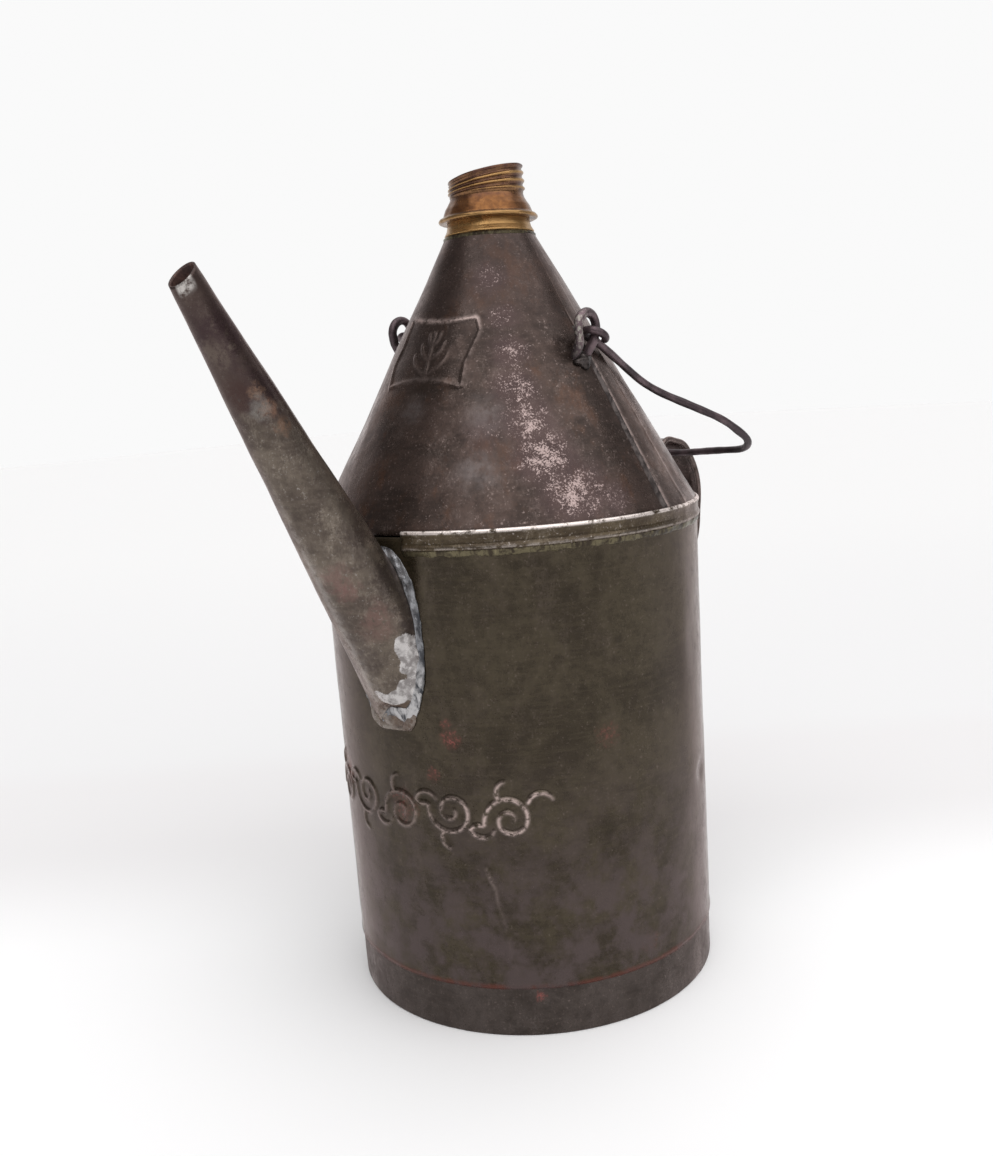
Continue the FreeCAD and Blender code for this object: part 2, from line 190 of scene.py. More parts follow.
def lathe(name, outline, azimuths, relief, closed=True):
    """Turn a closed (radius, height) outline; relief(points) moves each point along its radius."""
    radius, z = outline[:, :1], outline[:, 1:]
    radius = radius + relief(around(azimuths[None, :], radius, z))
    rows, cols = len(outline), len(azimuths)
    faces = [list(face) for face in grid_faces(rows, cols, True, closed)]
    if not closed:
        faces.append([row * cols for row in range(rows)])
        faces.append([row * cols + cols - 1 for row in reversed(range(rows))])
    return make_piece(name, around(azimuths[None, :], radius, z), faces)


def rounded(outline, radius, pieces=4):
    """A closed outline with each corner cut by a small arc."""
    outline = np.asarray(outline, dtype=float)
    result = []
    for before, corner, after in zip(np.roll(outline, 1, axis=0), outline, np.roll(outline, -1, axis=0)):
        back, ahead = before - corner, after - corner
        reach = min(radius, np.linalg.norm(back) / 2.1, np.linalg.norm(ahead) / 2.1)
        start = corner + back / np.linalg.norm(back) * reach
        end = corner + ahead / np.linalg.norm(ahead) * reach
        for t in np.linspace(0, 1, pieces):
            result.append((1 - t) ** 2 * start + 2 * t * (1 - t) * corner + t * t * end)
    return np.array(result)


def arc_path(points, radii, spacing):
    """Straight runs joined by tangent arcs, as evenly spaced points."""
    points = [np.asarray(point, dtype=float) for point in points]
    line = [points[0]]
    for before, corner, after, radius in zip(points, points[1:], points[2:], radii):
        back = (before - corner) / np.linalg.norm(before - corner)
        ahead = (after - corner) / np.linalg.norm(after - corner)
        half_turn = (math.pi - math.acos(np.clip(back @ ahead, -1, 1))) / 2
        centre = corner + (back + ahead) / np.linalg.norm(back + ahead) * radius / math.cos(half_turn)
        start = corner + back * radius * math.tan(half_turn) - centre
        end = corner + ahead * radius * math.tan(half_turn) - centre
        for t in np.linspace(0, 1, 13):
            spoke = math.sin((1 - t) * 2 * half_turn) * start + math.sin(t * 2 * half_turn) * end
            line.append(centre + spoke / math.sin(2 * half_turn))
    line.append(points[-1])
    return resampled(np.array(line), spacing)


def resampled(line, spacing):
    """The same line as evenly spaced points."""
    length = np.concatenate([[0], np.cumsum(np.linalg.norm(np.diff(line, axis=0), axis=1))])
    places = np.linspace(0, length[-1], max(2, int(length[-1] / spacing) + 1))
    return np.stack([np.interp(places, length, line[:, axis]) for axis in range(line.shape[1])], axis=1)


def capped_rows(rows, cols):
    """The faces of a tube of closed rows, with its two ends closed."""
    faces = [list(quad) for quad in grid_faces(rows, cols, False, True)]
    return faces + [list(range(cols))[::-1], [(rows - 1) * cols + col for col in range(cols)]]


def sweep(name, path, profile, across, scale, marks=None):
    """Carry a closed (side, face) profile along a path; across is the side's direction."""
    ahead = np.roll(path, -1, axis=0) - np.roll(path, 1, axis=0)
    ahead[0], ahead[-1] = path[1] - path[0], path[-1] - path[-2]
    ahead /= np.linalg.norm(ahead, axis=1, keepdims=True)
    side = np.asarray(across, dtype=float) - ahead * (ahead @ across)[:, None]
    side /= np.linalg.norm(side, axis=1, keepdims=True)
    face = np.cross(ahead, side)
    points = (path[:, None, :] + side[:, None, :] * (profile[None, :, :1] * scale[..., None])
              + face[:, None, :] * (profile[None, :, 1:] * scale[..., None]))
    return make_piece(name, points, capped_rows(*points.shape[:2]), marks)


def wire(name, path, radius, normal, lumps):
    """A round wire with slightly uneven thickness and rounded ends."""
    turn = np.linspace(0, 2 * math.pi, WIRE_SIDES, endpoint=False)
    ring = np.stack([radius * np.cos(turn), radius * np.sin(turn)], axis=1)
    ends = np.minimum(np.arange(len(path)), np.arange(len(path))[::-1])
    share = (1 + lumps * wobble(path, 9.0, 5)) * np.sqrt(np.clip((ends + 0.6) / 3.0, 0, 1))
    return sweep(name, path, ring, normal, np.repeat(share[:, None], WIRE_SIDES, axis=1))


def line_distance(flat, line):
    """Distance from each flat (across, up) point to a polyline, and the place along it, 0 to 1."""
    starts, ends = line[:-1], line[1:]
    nearest = np.full(flat.shape[:-1], 1e9)
    place = np.zeros(flat.shape[:-1])
    for index, (start, end) in enumerate(zip(starts, ends)):
        run = end - start
        t = np.clip(((flat - start) @ run) / (run @ run), 0, 1)
        distance = np.linalg.norm(flat - (start + t[..., None] * run), axis=-1)
        closer = distance < nearest
        nearest = np.where(closer, distance, nearest)
        place = np.where(closer, (index + t) / len(starts), place)
    return nearest, place


# ---- embossed decoration: a plain leafy scroll on the body, a cartouche with a sprig on the cone ----
VOLUTES, VOLUTE_R = 5, 10.2
SCROLL_START, SCROLL_STEP, SCROLL_MIDDLE_Z = -45.0, 23.4, 93.0


def spiral(middle, radius, start, turns, inner=0.22):
    """A volute that winds inwards from an angle in degrees."""
    t = np.linspace(0, 1, 44)
    angle = math.radians(start) + turns * 2 * math.pi * t
    reach = radius * (1 - (1 - inner) * t ** 0.9)
    return np.stack([middle[0] + reach * np.cos(angle), middle[1] + reach * np.sin(angle)], axis=1)


def leaf(root, angle, length, bend):
    """A leaf's middle line from its root, heading off at an angle in degrees and bending in radians."""
    pieces = 8
    heading = math.radians(angle) + bend * np.linspace(0, 1, pieces + 1)
    offsets = np.cumsum(np.stack([np.cos(heading), np.sin(heading)], axis=1) * length / pieces, axis=0)
    return np.asarray(root) + offsets - offsets[0]


def bezier(start, start_pull, end, end_pull):
    """A curve between two flat points, with the pull of its handle at each end."""
    start, end = np.asarray(start, dtype=float), np.asarray(end, dtype=float)
    t = np.linspace(0, 1, 12)[:, None]
    near, far = start + start_pull, end + end_pull
    return (1 - t) ** 3 * start + 3 * t * (1 - t) ** 2 * near + 3 * t * t * (1 - t) * far + t ** 3 * end


def scroll_lines():
    """A running scroll as flat lines, in millimetres across and up: each volute curls off the stem,
    which goes on to the next one, turned the other way, and puts out leaves as it leaves."""
    lines = []
    for number in range(VOLUTES):
        up = 1 if number % 2 == 0 else -1
        middle = np.array([SCROLL_START + SCROLL_STEP * number, SCROLL_MIDDLE_Z - up * 1.5])
        lines.append(spiral(middle, VOLUTE_R, up * 190, -up * 1.6, 0.14))
        leaving = math.radians(up * 42)
        stem = middle + VOLUTE_R * np.array([math.cos(leaving), math.sin(leaving)])
        following = np.array([middle[0] + SCROLL_STEP - VOLUTE_R, SCROLL_MIDDLE_Z + up * 1.5])
        if number < VOLUTES - 1:
            lines.append(bezier(stem, (4.0, -up * 4.0), following, (0.0, up * 5.0)))
        lines.append(leaf(stem, up * 78, 12.0, -up * 2.3))
        lines.append(leaf(middle + [-4.0, up * 9.0], up * 130, 8.0, -up * 1.9))
    return lines


# root, heading, length and bend of each leaf of the sprig
SPRIG = [((3.0, 262.5), 90, 17.0, 0.0)]
for root_z, heading, length in ((263.5, 10, 12.0), (269.0, 15, 9.0), (274.5, 25, 6.0)):
    SPRIG.append(((3.0, root_z), heading, length, 1.0))
    SPRIG.append(((3.0, root_z), 180 - heading, length, -1.0))

# azimuth and height of the corners
CARTOUCHE = np.array([(-20.0, 259.5), (0.0, 261.8), (13.0, 260.6), (23.5, 257.8), (24.5, 267.0),
                      (28.0, 273.5), (31.5, 279.5), (29.5, 284.5), (10.0, 283.8), (-12.0, 285.0),
                      (-24.5, 286.5), (-22.5, 277.0), (-24.5, 268.0), (-20.0, 259.5)])
CREASE = np.array([(27.0, 70.8), (28.2, 66.5), (29.3, 62.4), (29.6, 57.0), (30.8, 51.0), (32.0, 42.0),
                   (32.1, 33.0), (33.0, 28.0)])

# azimuth, height, how far out (or in, if negative), reach across, reach up
BODY_DENTS = [(109, 88, -1.1, 6, 5), (-50, 112, -0.9, 8, 10), (-52, 96, 0.5, 5, 7), (23.5, 26, 0.5, 2, 1.6),
              (64, 121, -0.5, 14, 12), (12, 150, -0.4, 30, 22), (150, 60, -0.8, 18, 14),
              (215, 120, -0.9, 20, 16), (262, 70, -0.7, 14, 18), (-14, 26, -0.4, 9, 5),
              (75, 40, -0.5, 16, 10), (97, 150, 0.4, 7, 26)]
CONE_DENTS = [(20, 235, -0.7, 9, 16), (36, 225, 0.45, 6, 22), (-8, 232, 0.5, 8, 20),
              (56, 250, -0.5, 14, 14), (-40, 240, -0.7, 14, 14), (140, 250, -0.8, 14, 16),
              (200, 235, -0.7, 18, 16), (110, 222, 0.4, 8, 10), (70, 300, -0.4, 8, 8)]


def dents(azimuth, radius, z, places):
    """The relief of all the dents and bulges in a list of them."""
    total = np.zeros(np.broadcast(azimuth, z).shape)
    for place, height, depth, reach, rise in places:
        turn = (azimuth - place + 180) % 360 - 180
        total += depth * hump(np.radians(turn) * radius, 0, reach) * hump(z, height, rise)
    return total


# ---- materials ----
class Paint:
    """A node material, built from named steps. Sizes are in millimetres."""

    def __init__(self, name):
        self.material = bpy.data.materials.new(name)
        self.material.use_nodes = True
        self.nodes = self.material.node_tree.nodes
        self.links = self.material.node_tree.links
        self.shader = self.nodes["Principled BSDF"]
        self.place = self.nodes.new("ShaderNodeTexCoord").outputs["Object"]

    def node(self, kind, inputs, **settings):
        """A node with its inputs fed and its settings set."""
        made = self.nodes.new(kind)
        for key, value in settings.items():
            setattr(made, key, value)
        for key, value in inputs.items():
            self.feed(made.inputs[key], value)
        return made

    def feed(self, socket, value):
        """Give a socket a link, a colour or a number."""
        if isinstance(value, bpy.types.NodeSocket):
            self.links.new(value, socket)
        elif isinstance(value, (tuple, list)) and socket.type == "RGBA":
            socket.default_value = (*value[:3], 1.0)
        else:
            socket.default_value = value

    def noise(self, size, seed, detail=4.0, roughness=0.55, stretch=(1, 1, 1), distortion=0.0):
        """Blotches of about that size in millimetres, from 0 to 1."""
        place = self.place
        if stretch != (1, 1, 1):
            place = self.node("ShaderNodeMapping", {"Vector": place, "Scale": stretch}).outputs["Vector"]
        return self.node("ShaderNodeTexNoise", {"Vector": place, "W": seed, "Scale": 1 / (size * MM),
                                                "Detail": detail, "Roughness": roughness,
                                                "Distortion": distortion},
                         noise_dimensions="4D").outputs["Fac"]

    def range(self, value, low, high, out_low=0.0, out_high=1.0):
        """The value carried from one range to another, with soft ends."""
        return self.node("ShaderNodeMapRange", {"Value": value, "From Min": low, "From Max": high,
                                                "To Min": out_low, "To Max": out_high},
                         interpolation_type="SMOOTHSTEP").outputs["Result"]

    def math(self, operation, a, b):
        return self.node("ShaderNodeMath", {0: a, 1: b}, operation=operation).outputs[0]

    def times(self, a, b):
        return self.math("MULTIPLY", a, b)

    def plus(self, a, b):
        return self.math("ADD", a, b)

    def mix(self, share, a, b):
        """Colour a, turning into colour b as the share grows from 0 to 1."""
        made = self.node("ShaderNodeMix", {}, data_type="RGBA", clamp_factor=True)
        for socket, value in zip((made.inputs["Factor"], made.inputs[6], made.inputs[7]), (share, a, b)):
            self.feed(socket, value)
        return made.outputs[2]

    def mark(self, name):
        """A number kept at the points of the mesh, 0 where the mesh has no such mark."""
        return self.node("ShaderNodeAttribute", {}, attribute_name=name).outputs["Fac"]

    def height(self):
        """Height above the floor in millimetres."""
        made = self.node("ShaderNodeSeparateXYZ", {"Vector": self.place})
        return self.times(made.outputs["Z"], 1 / MM)

    def near(self, point, radius, softness, ragged):
        """1 close to a point, fading to 0 at a radius, with a ragged edge."""
        point = tuple(float(part) * MM for part in point)
        distance = self.node("ShaderNodeVectorMath", {0: self.place, 1: point},
                             operation="DISTANCE").outputs["Value"]
        roughness = self.math("SUBTRACT", self.noise(radius * 0.5, radius), 0.5)
        distance = self.plus(distance, self.times(roughness, ragged * radius * MM))
        return self.range(distance, radius * MM, radius * MM * (1 - softness))

    def bump(self, *layers):
        """Stack (height, distance in mm, strength) layers of relief."""
        normal = None
        for value, distance, strength in layers:
            inputs = {"Height": value, "Distance": distance * MM, "Strength": strength}
            if normal is not None:
                inputs["Normal"] = normal
            normal = self.node("ShaderNodeBump", inputs).outputs["Normal"]
        self.feed(self.shader.inputs["Normal"], normal)

    def finish(self, colour, roughness, metallic):
        """Give the shader its look and return the material."""
        self.feed(self.shader.inputs["Base Color"], colour)
        self.feed(self.shader.inputs["Roughness"], roughness)
        self.feed(self.shader.inputs["Metallic"], metallic)
        return self.material


def shaded(tone, factor):
    """A colour made darker or lighter."""
    return tuple(min(1.0, factor * part) for part in tone)


def aged_tin(name, dark, mid, pale, seed, bare_and_sheen=(0.50, 0.39, 0.36), roughness=(0.18, 0.42), extra=None,
             speckle=0.35, pale_share=0.6, grain_way=(1, 1, 0.45), scale=1.0):
    """Oxidised tinplate: blotchy patina, rubbed streaks, fine pitting, and rubbed bare metal with painted
    highlights where marked.
    """
    paint = Paint(name)
    cloud = paint.noise(34 * scale, seed, 8, 0.68, distortion=0.5)
    mottle = paint.noise(5 * scale ** 0.5, seed + 3, 6, 0.72)
    grain = paint.noise(0.9, seed + 5, 3, 0.6)
    rubbed = paint.noise(15 * scale, seed + 9, 8, 0.74, stretch=grain_way)
    streaks = paint.noise(1.6, seed + 13, 4, 0.65, stretch=(0.12, 0.12, 1))
    tooth = paint.times(paint.math("SUBTRACT", paint.noise(0.8, seed + 15, 3, 0.8), 0.5), 0.8)
    rubbed, mottle = paint.plus(rubbed, tooth), paint.math("SUBTRACT", mottle, tooth)
    colour = paint.mix(paint.range(cloud, 0.42, 0.58), dark, mid)
    colour = paint.mix(paint.range(rubbed, 0.50, 0.66, 0.0, pale_share), colour, pale)
    colour = paint.mix(paint.range(mottle, 0.52, 0.36, 0.0, 0.45), colour, shaded(dark, 0.6))
    colour = paint.mix(paint.range(streaks, 0.45, 0.68, 0.0, 0.35), colour, shaded(mid, 1.25))
    pits = paint.times(paint.range(grain, 0.56, 0.68), paint.range(mottle, 0.42, 0.62))
    colour = paint.mix(paint.times(pits, speckle), colour, bare_and_sheen)
    rough = paint.range(rubbed, 0.42, 0.64, roughness[1], roughness[0])
    rough = paint.plus(rough, paint.range(mottle, 0.35, 0.65, 0.06, -0.06))
    if extra is not None:
        colour, rough = extra(paint, colour, rough)
    patchy = paint.range(paint.noise(3.0, seed + 11, 4, 0.7), 0.36, 0.56)
    # Where marked: rubbed bare metal, and painted highlights on edges and ridges.
    colour = paint.mix(paint.times(paint.mark("wear_and_sheen"), patchy), colour, bare_and_sheen)
    paint.bump((cloud, 1.0, 0.25), (rubbed, 0.15, 0.3), (grain, 0.04, 0.4))
    paint.shader.inputs["Specular Tint"].default_value = (1.0, 0.86, 0.84, 1.0)
    return paint.finish(colour, rough, 0.6)


# azimuth, height, radius and strength of each cluster of rusty specks
BODY_RUST = [(19.5, 124, 5.5, 0.9), (18.5, 130, 3.0, 0.8), (13.1, 109, 4.0, 0.9), (64, 121, 7.0, 0.35),
             (-30, 100, 10.0, 0.7), (2, 94, 9.0, 0.6), (40, 17, 3.5, 0.8), (75, 30, 6.0, 0.4)]


def rust_extra(paint, colour, rough):
    """Small clusters of reddish specks."""
    specks = paint.range(paint.noise(1.3, 51, 4, 0.75), 0.50, 0.60)
    for azimuth, z, radius, strength in BODY_RUST:
        point = around(azimuth, float(body_r(z)), z)
        stain = paint.times(paint.near(point, radius, 0.9, 1.2), strength)
        share = paint.times(stain, paint.plus(paint.times(specks, 0.85), 0.15))
        colour = paint.mix(share, colour, (0.25, 0.075, 0.065))
    return colour, rough


def body_extra(paint, colour, rough):
    """Rusty specks, a red line of rust at the body's lower edge, and a browner lower half."""
    colour, rough = rust_extra(paint, colour, rough)
    height = paint.height()
    ragged = paint.plus(height, paint.times(paint.noise(6, 4, 4), 3.0))
    colour = paint.mix(paint.range(ragged, 24.6, 22.4, 0.0, 0.8), colour, (0.115, 0.03, 0.02))
    low = paint.range(height, 130, 30, 0.0, 0.9)
    low = paint.times(low, paint.range(paint.noise(13, 27, 7, 0.7), 0.38, 0.60))
    return paint.mix(low, colour, (0.072, 0.054, 0.052)), rough


def on_cone(azimuth, z):
    """A point on the plain cone."""
    return around(azimuth, float(cone_r(z)), z)


# azimuth, height and radius of each grey rubbed streak, and of each pale sheen beside the +X seam, which is a
# painted highlight
CONE_STREAKS = [(34, 246, 13), (31, 226, 14), (2, 250, 9)]
CONE_SEAM_SHEENS = [(101, 222, 12), (103, 240, 11), (105, 256, 9), (110, 214, 9)]
# azimuth, height, radius and strength of each speckled patch
SPECKLE = [(60, 216, 25, 0.95), (54, 230, 23, 0.95), (50, 243, 20, 0.9), (47, 256, 17, 0.85),
           (46, 270, 14, 0.8), (45, 284, 12, 0.65), (38, 300, 14, 0.6), (34, 240, 18, 0.45),
           (72, 212, 14, 0.7)]


def cone_extra(paint, colour, rough):
    """Brown patches, grey rubbed streaks, the pinkish-white speckle worn into the cone, and a painted
    highlight beside the +X seam.
    """
    brown = paint.range(paint.noise(18, 33, 8, 0.75, stretch=(1, 1, 0.6)), 0.50, 0.66, 0.0, 0.6)
    colour = paint.mix(brown, colour, (0.085, 0.040, 0.022))
    for azimuth, z, radius in CONE_STREAKS:
        streak = paint.near(on_cone(azimuth, z), radius, 0.95, 0.6)
        share = paint.times(streak, paint.range(paint.noise(5, 40, 5, 0.7), 0.35, 0.6, 0.15, 0.75))
        colour = paint.mix(share, colour, (0.118, 0.100, 0.096))
    colour = paint.mix(paint.range(paint.height(), 262, 300, 0.0, 0.4), colour, (0.030, 0.019, 0.017))
    flecks = paint.plus(paint.times(paint.noise(0.75, 21, 3, 0.8), 0.62),
                        paint.times(paint.noise(4.5, 23, 4, 0.7), 0.38))
    inside = 0.0
    for azimuth, z, radius, strength in SPECKLE:
        patch = paint.near(on_cone(azimuth, z), radius, 1.0, 0.5)
        inside = paint.math("MAXIMUM", inside, paint.times(patch, strength))
    colour = paint.mix(paint.range(inside, 0.05, 0.7, 0.0, 0.6), colour, (0.060, 0.037, 0.037))
    level = paint.math("SUBTRACT", 0.655, paint.times(inside, 0.175))
    fleck = paint.range(paint.math("SUBTRACT", flecks, level), 0.0, 0.03)
    shown = paint.times(fleck, paint.range(inside, 0.02, 0.35))
    colour = paint.mix(shown, colour, (0.37, 0.285, 0.27))
    # Painted highlight: a pale sheen on the cone beside the +X seam.
    for azimuth, z, radius in CONE_SEAM_SHEENS:
        patchy = paint.range(paint.noise(2.5, 44, 6, 0.7, stretch=(1, 1, 0.4)), 0.4, 0.6)
        sheen = paint.times(paint.near(on_cone(azimuth, z), radius, 0.9, 0.8), patchy)
        colour = paint.mix(paint.times(sheen, 0.55), colour, (0.27, 0.21, 0.19))
    return colour, paint.plus(rough, paint.times(fleck, 0.12))


# millimetres from the mouth, angle round, radius, strength and colour of each patch on the spout
SPOUT_PATCHES = [(22, 15, 17, 0.85, (0.034, 0.019, 0.021)), (44, 5, 14, 0.85, (0.036, 0.021, 0.022)),
                 (42, 62, 9, 0.8, (0.046, 0.024, 0.020)), (26, 60, 7, 0.5, (0.150, 0.120, 0.095)),
                 (43, 18, 4.0, 0.6, (0.20, 0.12, 0.08)), (50, 12, 4.5, 0.7, (0.24, 0.135, 0.09)),
                 (58, 7, 4.5, 0.55, (0.22, 0.13, 0.085)), (49, 30, 6, 0.5, (0.20, 0.19, 0.175)),
                 (118, 60, 9, 0.5, (0.17, 0.095, 0.085)), (124, 52, 7, 0.5, (0.18, 0.095, 0.085)),
                 (140, 36, 11, 0.5, (0.19, 0.110, 0.095)), (152, 72, 10, 0.6, (0.050, 0.037, 0.034)),
                 (128, -14, 13, 0.7, (0.040, 0.029, 0.026)), (106, -12, 12, 0.6, (0.042, 0.030, 0.026)),
                 (150, -8, 12, 0.8, (0.044, 0.032, 0.029)), (178, 90, 10, 0.6, (0.10, 0.062, 0.044)),
                 (184, 60, 14, 0.7, (0.10, 0.066, 0.048))]


def spout_extra(paint, colour, rough):
    """Darker and redder patches down the spout, and solder smeared up the sheet from the joint."""
    ragged = paint.times(paint.noise(7, 18, 7, 0.75), 60.0)
    dark_end = paint.range(paint.plus(paint.height(), ragged), 276, 292, 0.0, 0.75)
    colour = paint.mix(dark_end, colour, (0.046, 0.028, 0.026))
    for along, turn, radius, strength, tone in SPOUT_PATCHES:
        patch = paint.near(spout_point(np.array(float(along)), turn), radius, 0.8, 1.6)
        patchy = paint.range(paint.noise(2.2, along, 6, 0.8), 0.38, 0.50)
        colour = paint.mix(paint.times(paint.times(patch, strength), patchy), colour, tone)
    ragged = paint.times(paint.noise(2.2, 12, 6, 0.7), 0.9)
    smear = paint.range(paint.plus(paint.mark("solder"), ragged), 0.95, 1.15)
    tone = paint.mix(paint.range(paint.noise(3, 17, 5), 0.4, 0.6), (0.22, 0.205, 0.20), (0.52, 0.50, 0.49))
    return paint.mix(smear, colour, tone), rough


def solder_metal(name, seed, tint=(0.24, 0.245, 0.262), shade=(0.045, 0.047, 0.053)):
    """Dull smeared solder, brighter where it is marked."""
    paint = Paint(name)
    smear = paint.noise(4.5, seed, 6, 0.7, stretch=(1, 1, 0.5), distortion=0.6)
    fine = paint.noise(1.4, seed + 2, 5, 0.7, stretch=(1, 1, 0.35))
    colour = paint.mix(paint.range(smear, 0.42, 0.56), shade, tint)
    colour = paint.mix(paint.range(fine, 0.46, 0.36, 0.0, 0.7), colour, shade)
    colour = paint.mix(paint.range(fine, 0.58, 0.70, 0.0, 0.4), colour, shaded(tint, 2.2))
    bright = paint.times(paint.mark("bright"), paint.range(smear, 0.36, 0.52))
    colour = paint.mix(bright, colour, (0.46, 0.45, 0.45))
    paint.bump((smear, 0.7, 0.5), (fine, 0.15, 0.5))
    return paint.finish(colour, paint.range(smear, 0.3, 0.7, 0.45, 0.25), 0.8)


def dry_rust(name):
    """The rusty inside of the spout."""
    paint = Paint(name)
    cloud = paint.noise(6, 5, 6, 0.7)
    colour = paint.mix(paint.range(cloud, 0.4, 0.6), (0.055, 0.030, 0.026), (0.14, 0.075, 0.060))
    paint.bump((cloud, 0.2, 0.5))
    return paint.finish(colour, 0.6, 0.1)


def tarnished_brass(name):
    """Brown tarnish in the hollows, orange on the skirt, gold where marked: rubbed ridges that also carry
    painted highlights.
    """
    paint = Paint(name)
    cloud = paint.noise(7, 3, 7, 0.68, distortion=0.4)
    fine = paint.noise(1.1, 8, 5, 0.7)
    height = paint.height()
    skirt = paint.times(paint.range(height, 327.2, 328.4), paint.range(height, 336.0, 334.0))
    colour = paint.mix(paint.range(cloud, 0.38, 0.58), (0.088, 0.044, 0.025), (0.23, 0.120, 0.054))
    copper = paint.mix(paint.range(cloud, 0.34, 0.62), (0.13, 0.053, 0.020), (0.235, 0.103, 0.036))
    colour = paint.mix(skirt, colour, copper)
    colour = paint.mix(paint.range(fine, 0.50, 0.38, 0.0, 0.35), colour, (0.055, 0.026, 0.018))
    colour = paint.mix(paint.mark("wear_and_sheen"), colour, (0.52, 0.31, 0.115))
    grime = paint.times(paint.mark("grime"), paint.range(cloud, 0.62, 0.45, 0.55, 1.0))
    colour = paint.mix(grime, colour, (0.095, 0.045, 0.038))
    paint.bump((cloud, 0.3, 0.35), (fine, 0.08, 0.5))
    return paint.finish(colour, paint.range(cloud, 0.3, 0.7, 0.36, 0.24), 0.85)


def black_wire(name):
    """Blackened iron wire, with rubbed bright metal where it is marked."""
    paint = Paint(name)
    cloud = paint.noise(14, 6, 5, 0.6)
    fine = paint.noise(1.1, 2, 4, 0.7)
    colour = paint.mix(paint.range(cloud, 0.38, 0.62), (0.056, 0.042, 0.046), (0.165, 0.118, 0.128))
    colour = paint.mix(paint.range(fine, 0.6, 0.75, 0.0, 0.6), colour, (0.20, 0.17, 0.17))
    patchy = paint.range(paint.noise(1.8, 9, 5, 0.75), 0.48, 0.58)
    colour = paint.mix(paint.times(paint.mark("bright"), patchy), colour, (0.40, 0.38, 0.33))
    paint.bump((cloud, 0.4, 0.3), (fine, 0.15, 0.6))
    return paint.finish(colour, paint.range(fine, 0.3, 0.7, 0.34, 0.55), 0.75)


BODY_TIN = aged_tin("body_tin", (0.026, 0.020, 0.011), (0.050, 0.040, 0.024), (0.072, 0.056, 0.042), 1.0,
                    extra=body_extra, speckle=0.10, pale_share=0.45, roughness=(0.10, 0.25))
CONE_TIN = aged_tin("cone_tin", (0.028, 0.019, 0.015), (0.058, 0.039, 0.032), (0.115, 0.086, 0.076), 2.0,
                    extra=cone_extra, speckle=0.35, pale_share=0.5, roughness=(0.18, 0.36), scale=0.6)
# The band's near-white pale tone is the colour of its painted highlight lines.
BAND_TIN = aged_tin("band_tin", (0.040, 0.028, 0.016), (0.082, 0.062, 0.036), (0.15, 0.125, 0.09), 3.0,
                    bare_and_sheen=(0.80, 0.72, 0.68), roughness=(0.16, 0.34))
SPOUT_TIN = aged_tin("spout_tin", (0.072, 0.056, 0.045), (0.125, 0.102, 0.080), (0.225, 0.190, 0.155), 4.0,
                     bare_and_sheen=(0.66, 0.63, 0.60), speckle=0.3, extra=spout_extra, pale_share=0.7,
                     roughness=(0.20, 0.40), grain_way=(1, 0.75, 0.35), scale=0.45)
SPOUT_INSIDE = dry_rust("spout_inside")
HANDLE_TIN = aged_tin("handle_tin", (0.022, 0.018, 0.014), (0.060, 0.040, 0.036), (0.12, 0.085, 0.078), 5.0,
                      roughness=(0.16, 0.32))
FOOT_TIN = aged_tin("foot_tin", (0.036, 0.028, 0.023), (0.062, 0.050, 0.044), (0.10, 0.082, 0.076), 6.0,
                    extra=rust_extra, speckle=0.15)
SOLDER = solder_metal("solder", 1.0)
DARK_SOLDER = solder_metal("dark_solder", 2.0, (0.13, 0.11, 0.065), (0.04, 0.03, 0.02))
BLACK_SOLDER = solder_metal("black_solder", 3.0, (0.07, 0.058, 0.055), (0.022, 0.017, 0.016))
BRASS = tarnished_brass("brass")
WIRE = black_wire("blackened_wire")


def dress(piece, material, slot_name, body, *nodes):
    """Finish a piece: its material, the body it rides on and the nodes it stands for; slot_name is not used.
    """
    piece.data.materials.clear()
    piece.data.materials.append(material)
    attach(piece, body)
    if nodes:
        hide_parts(*nodes)
    return piece


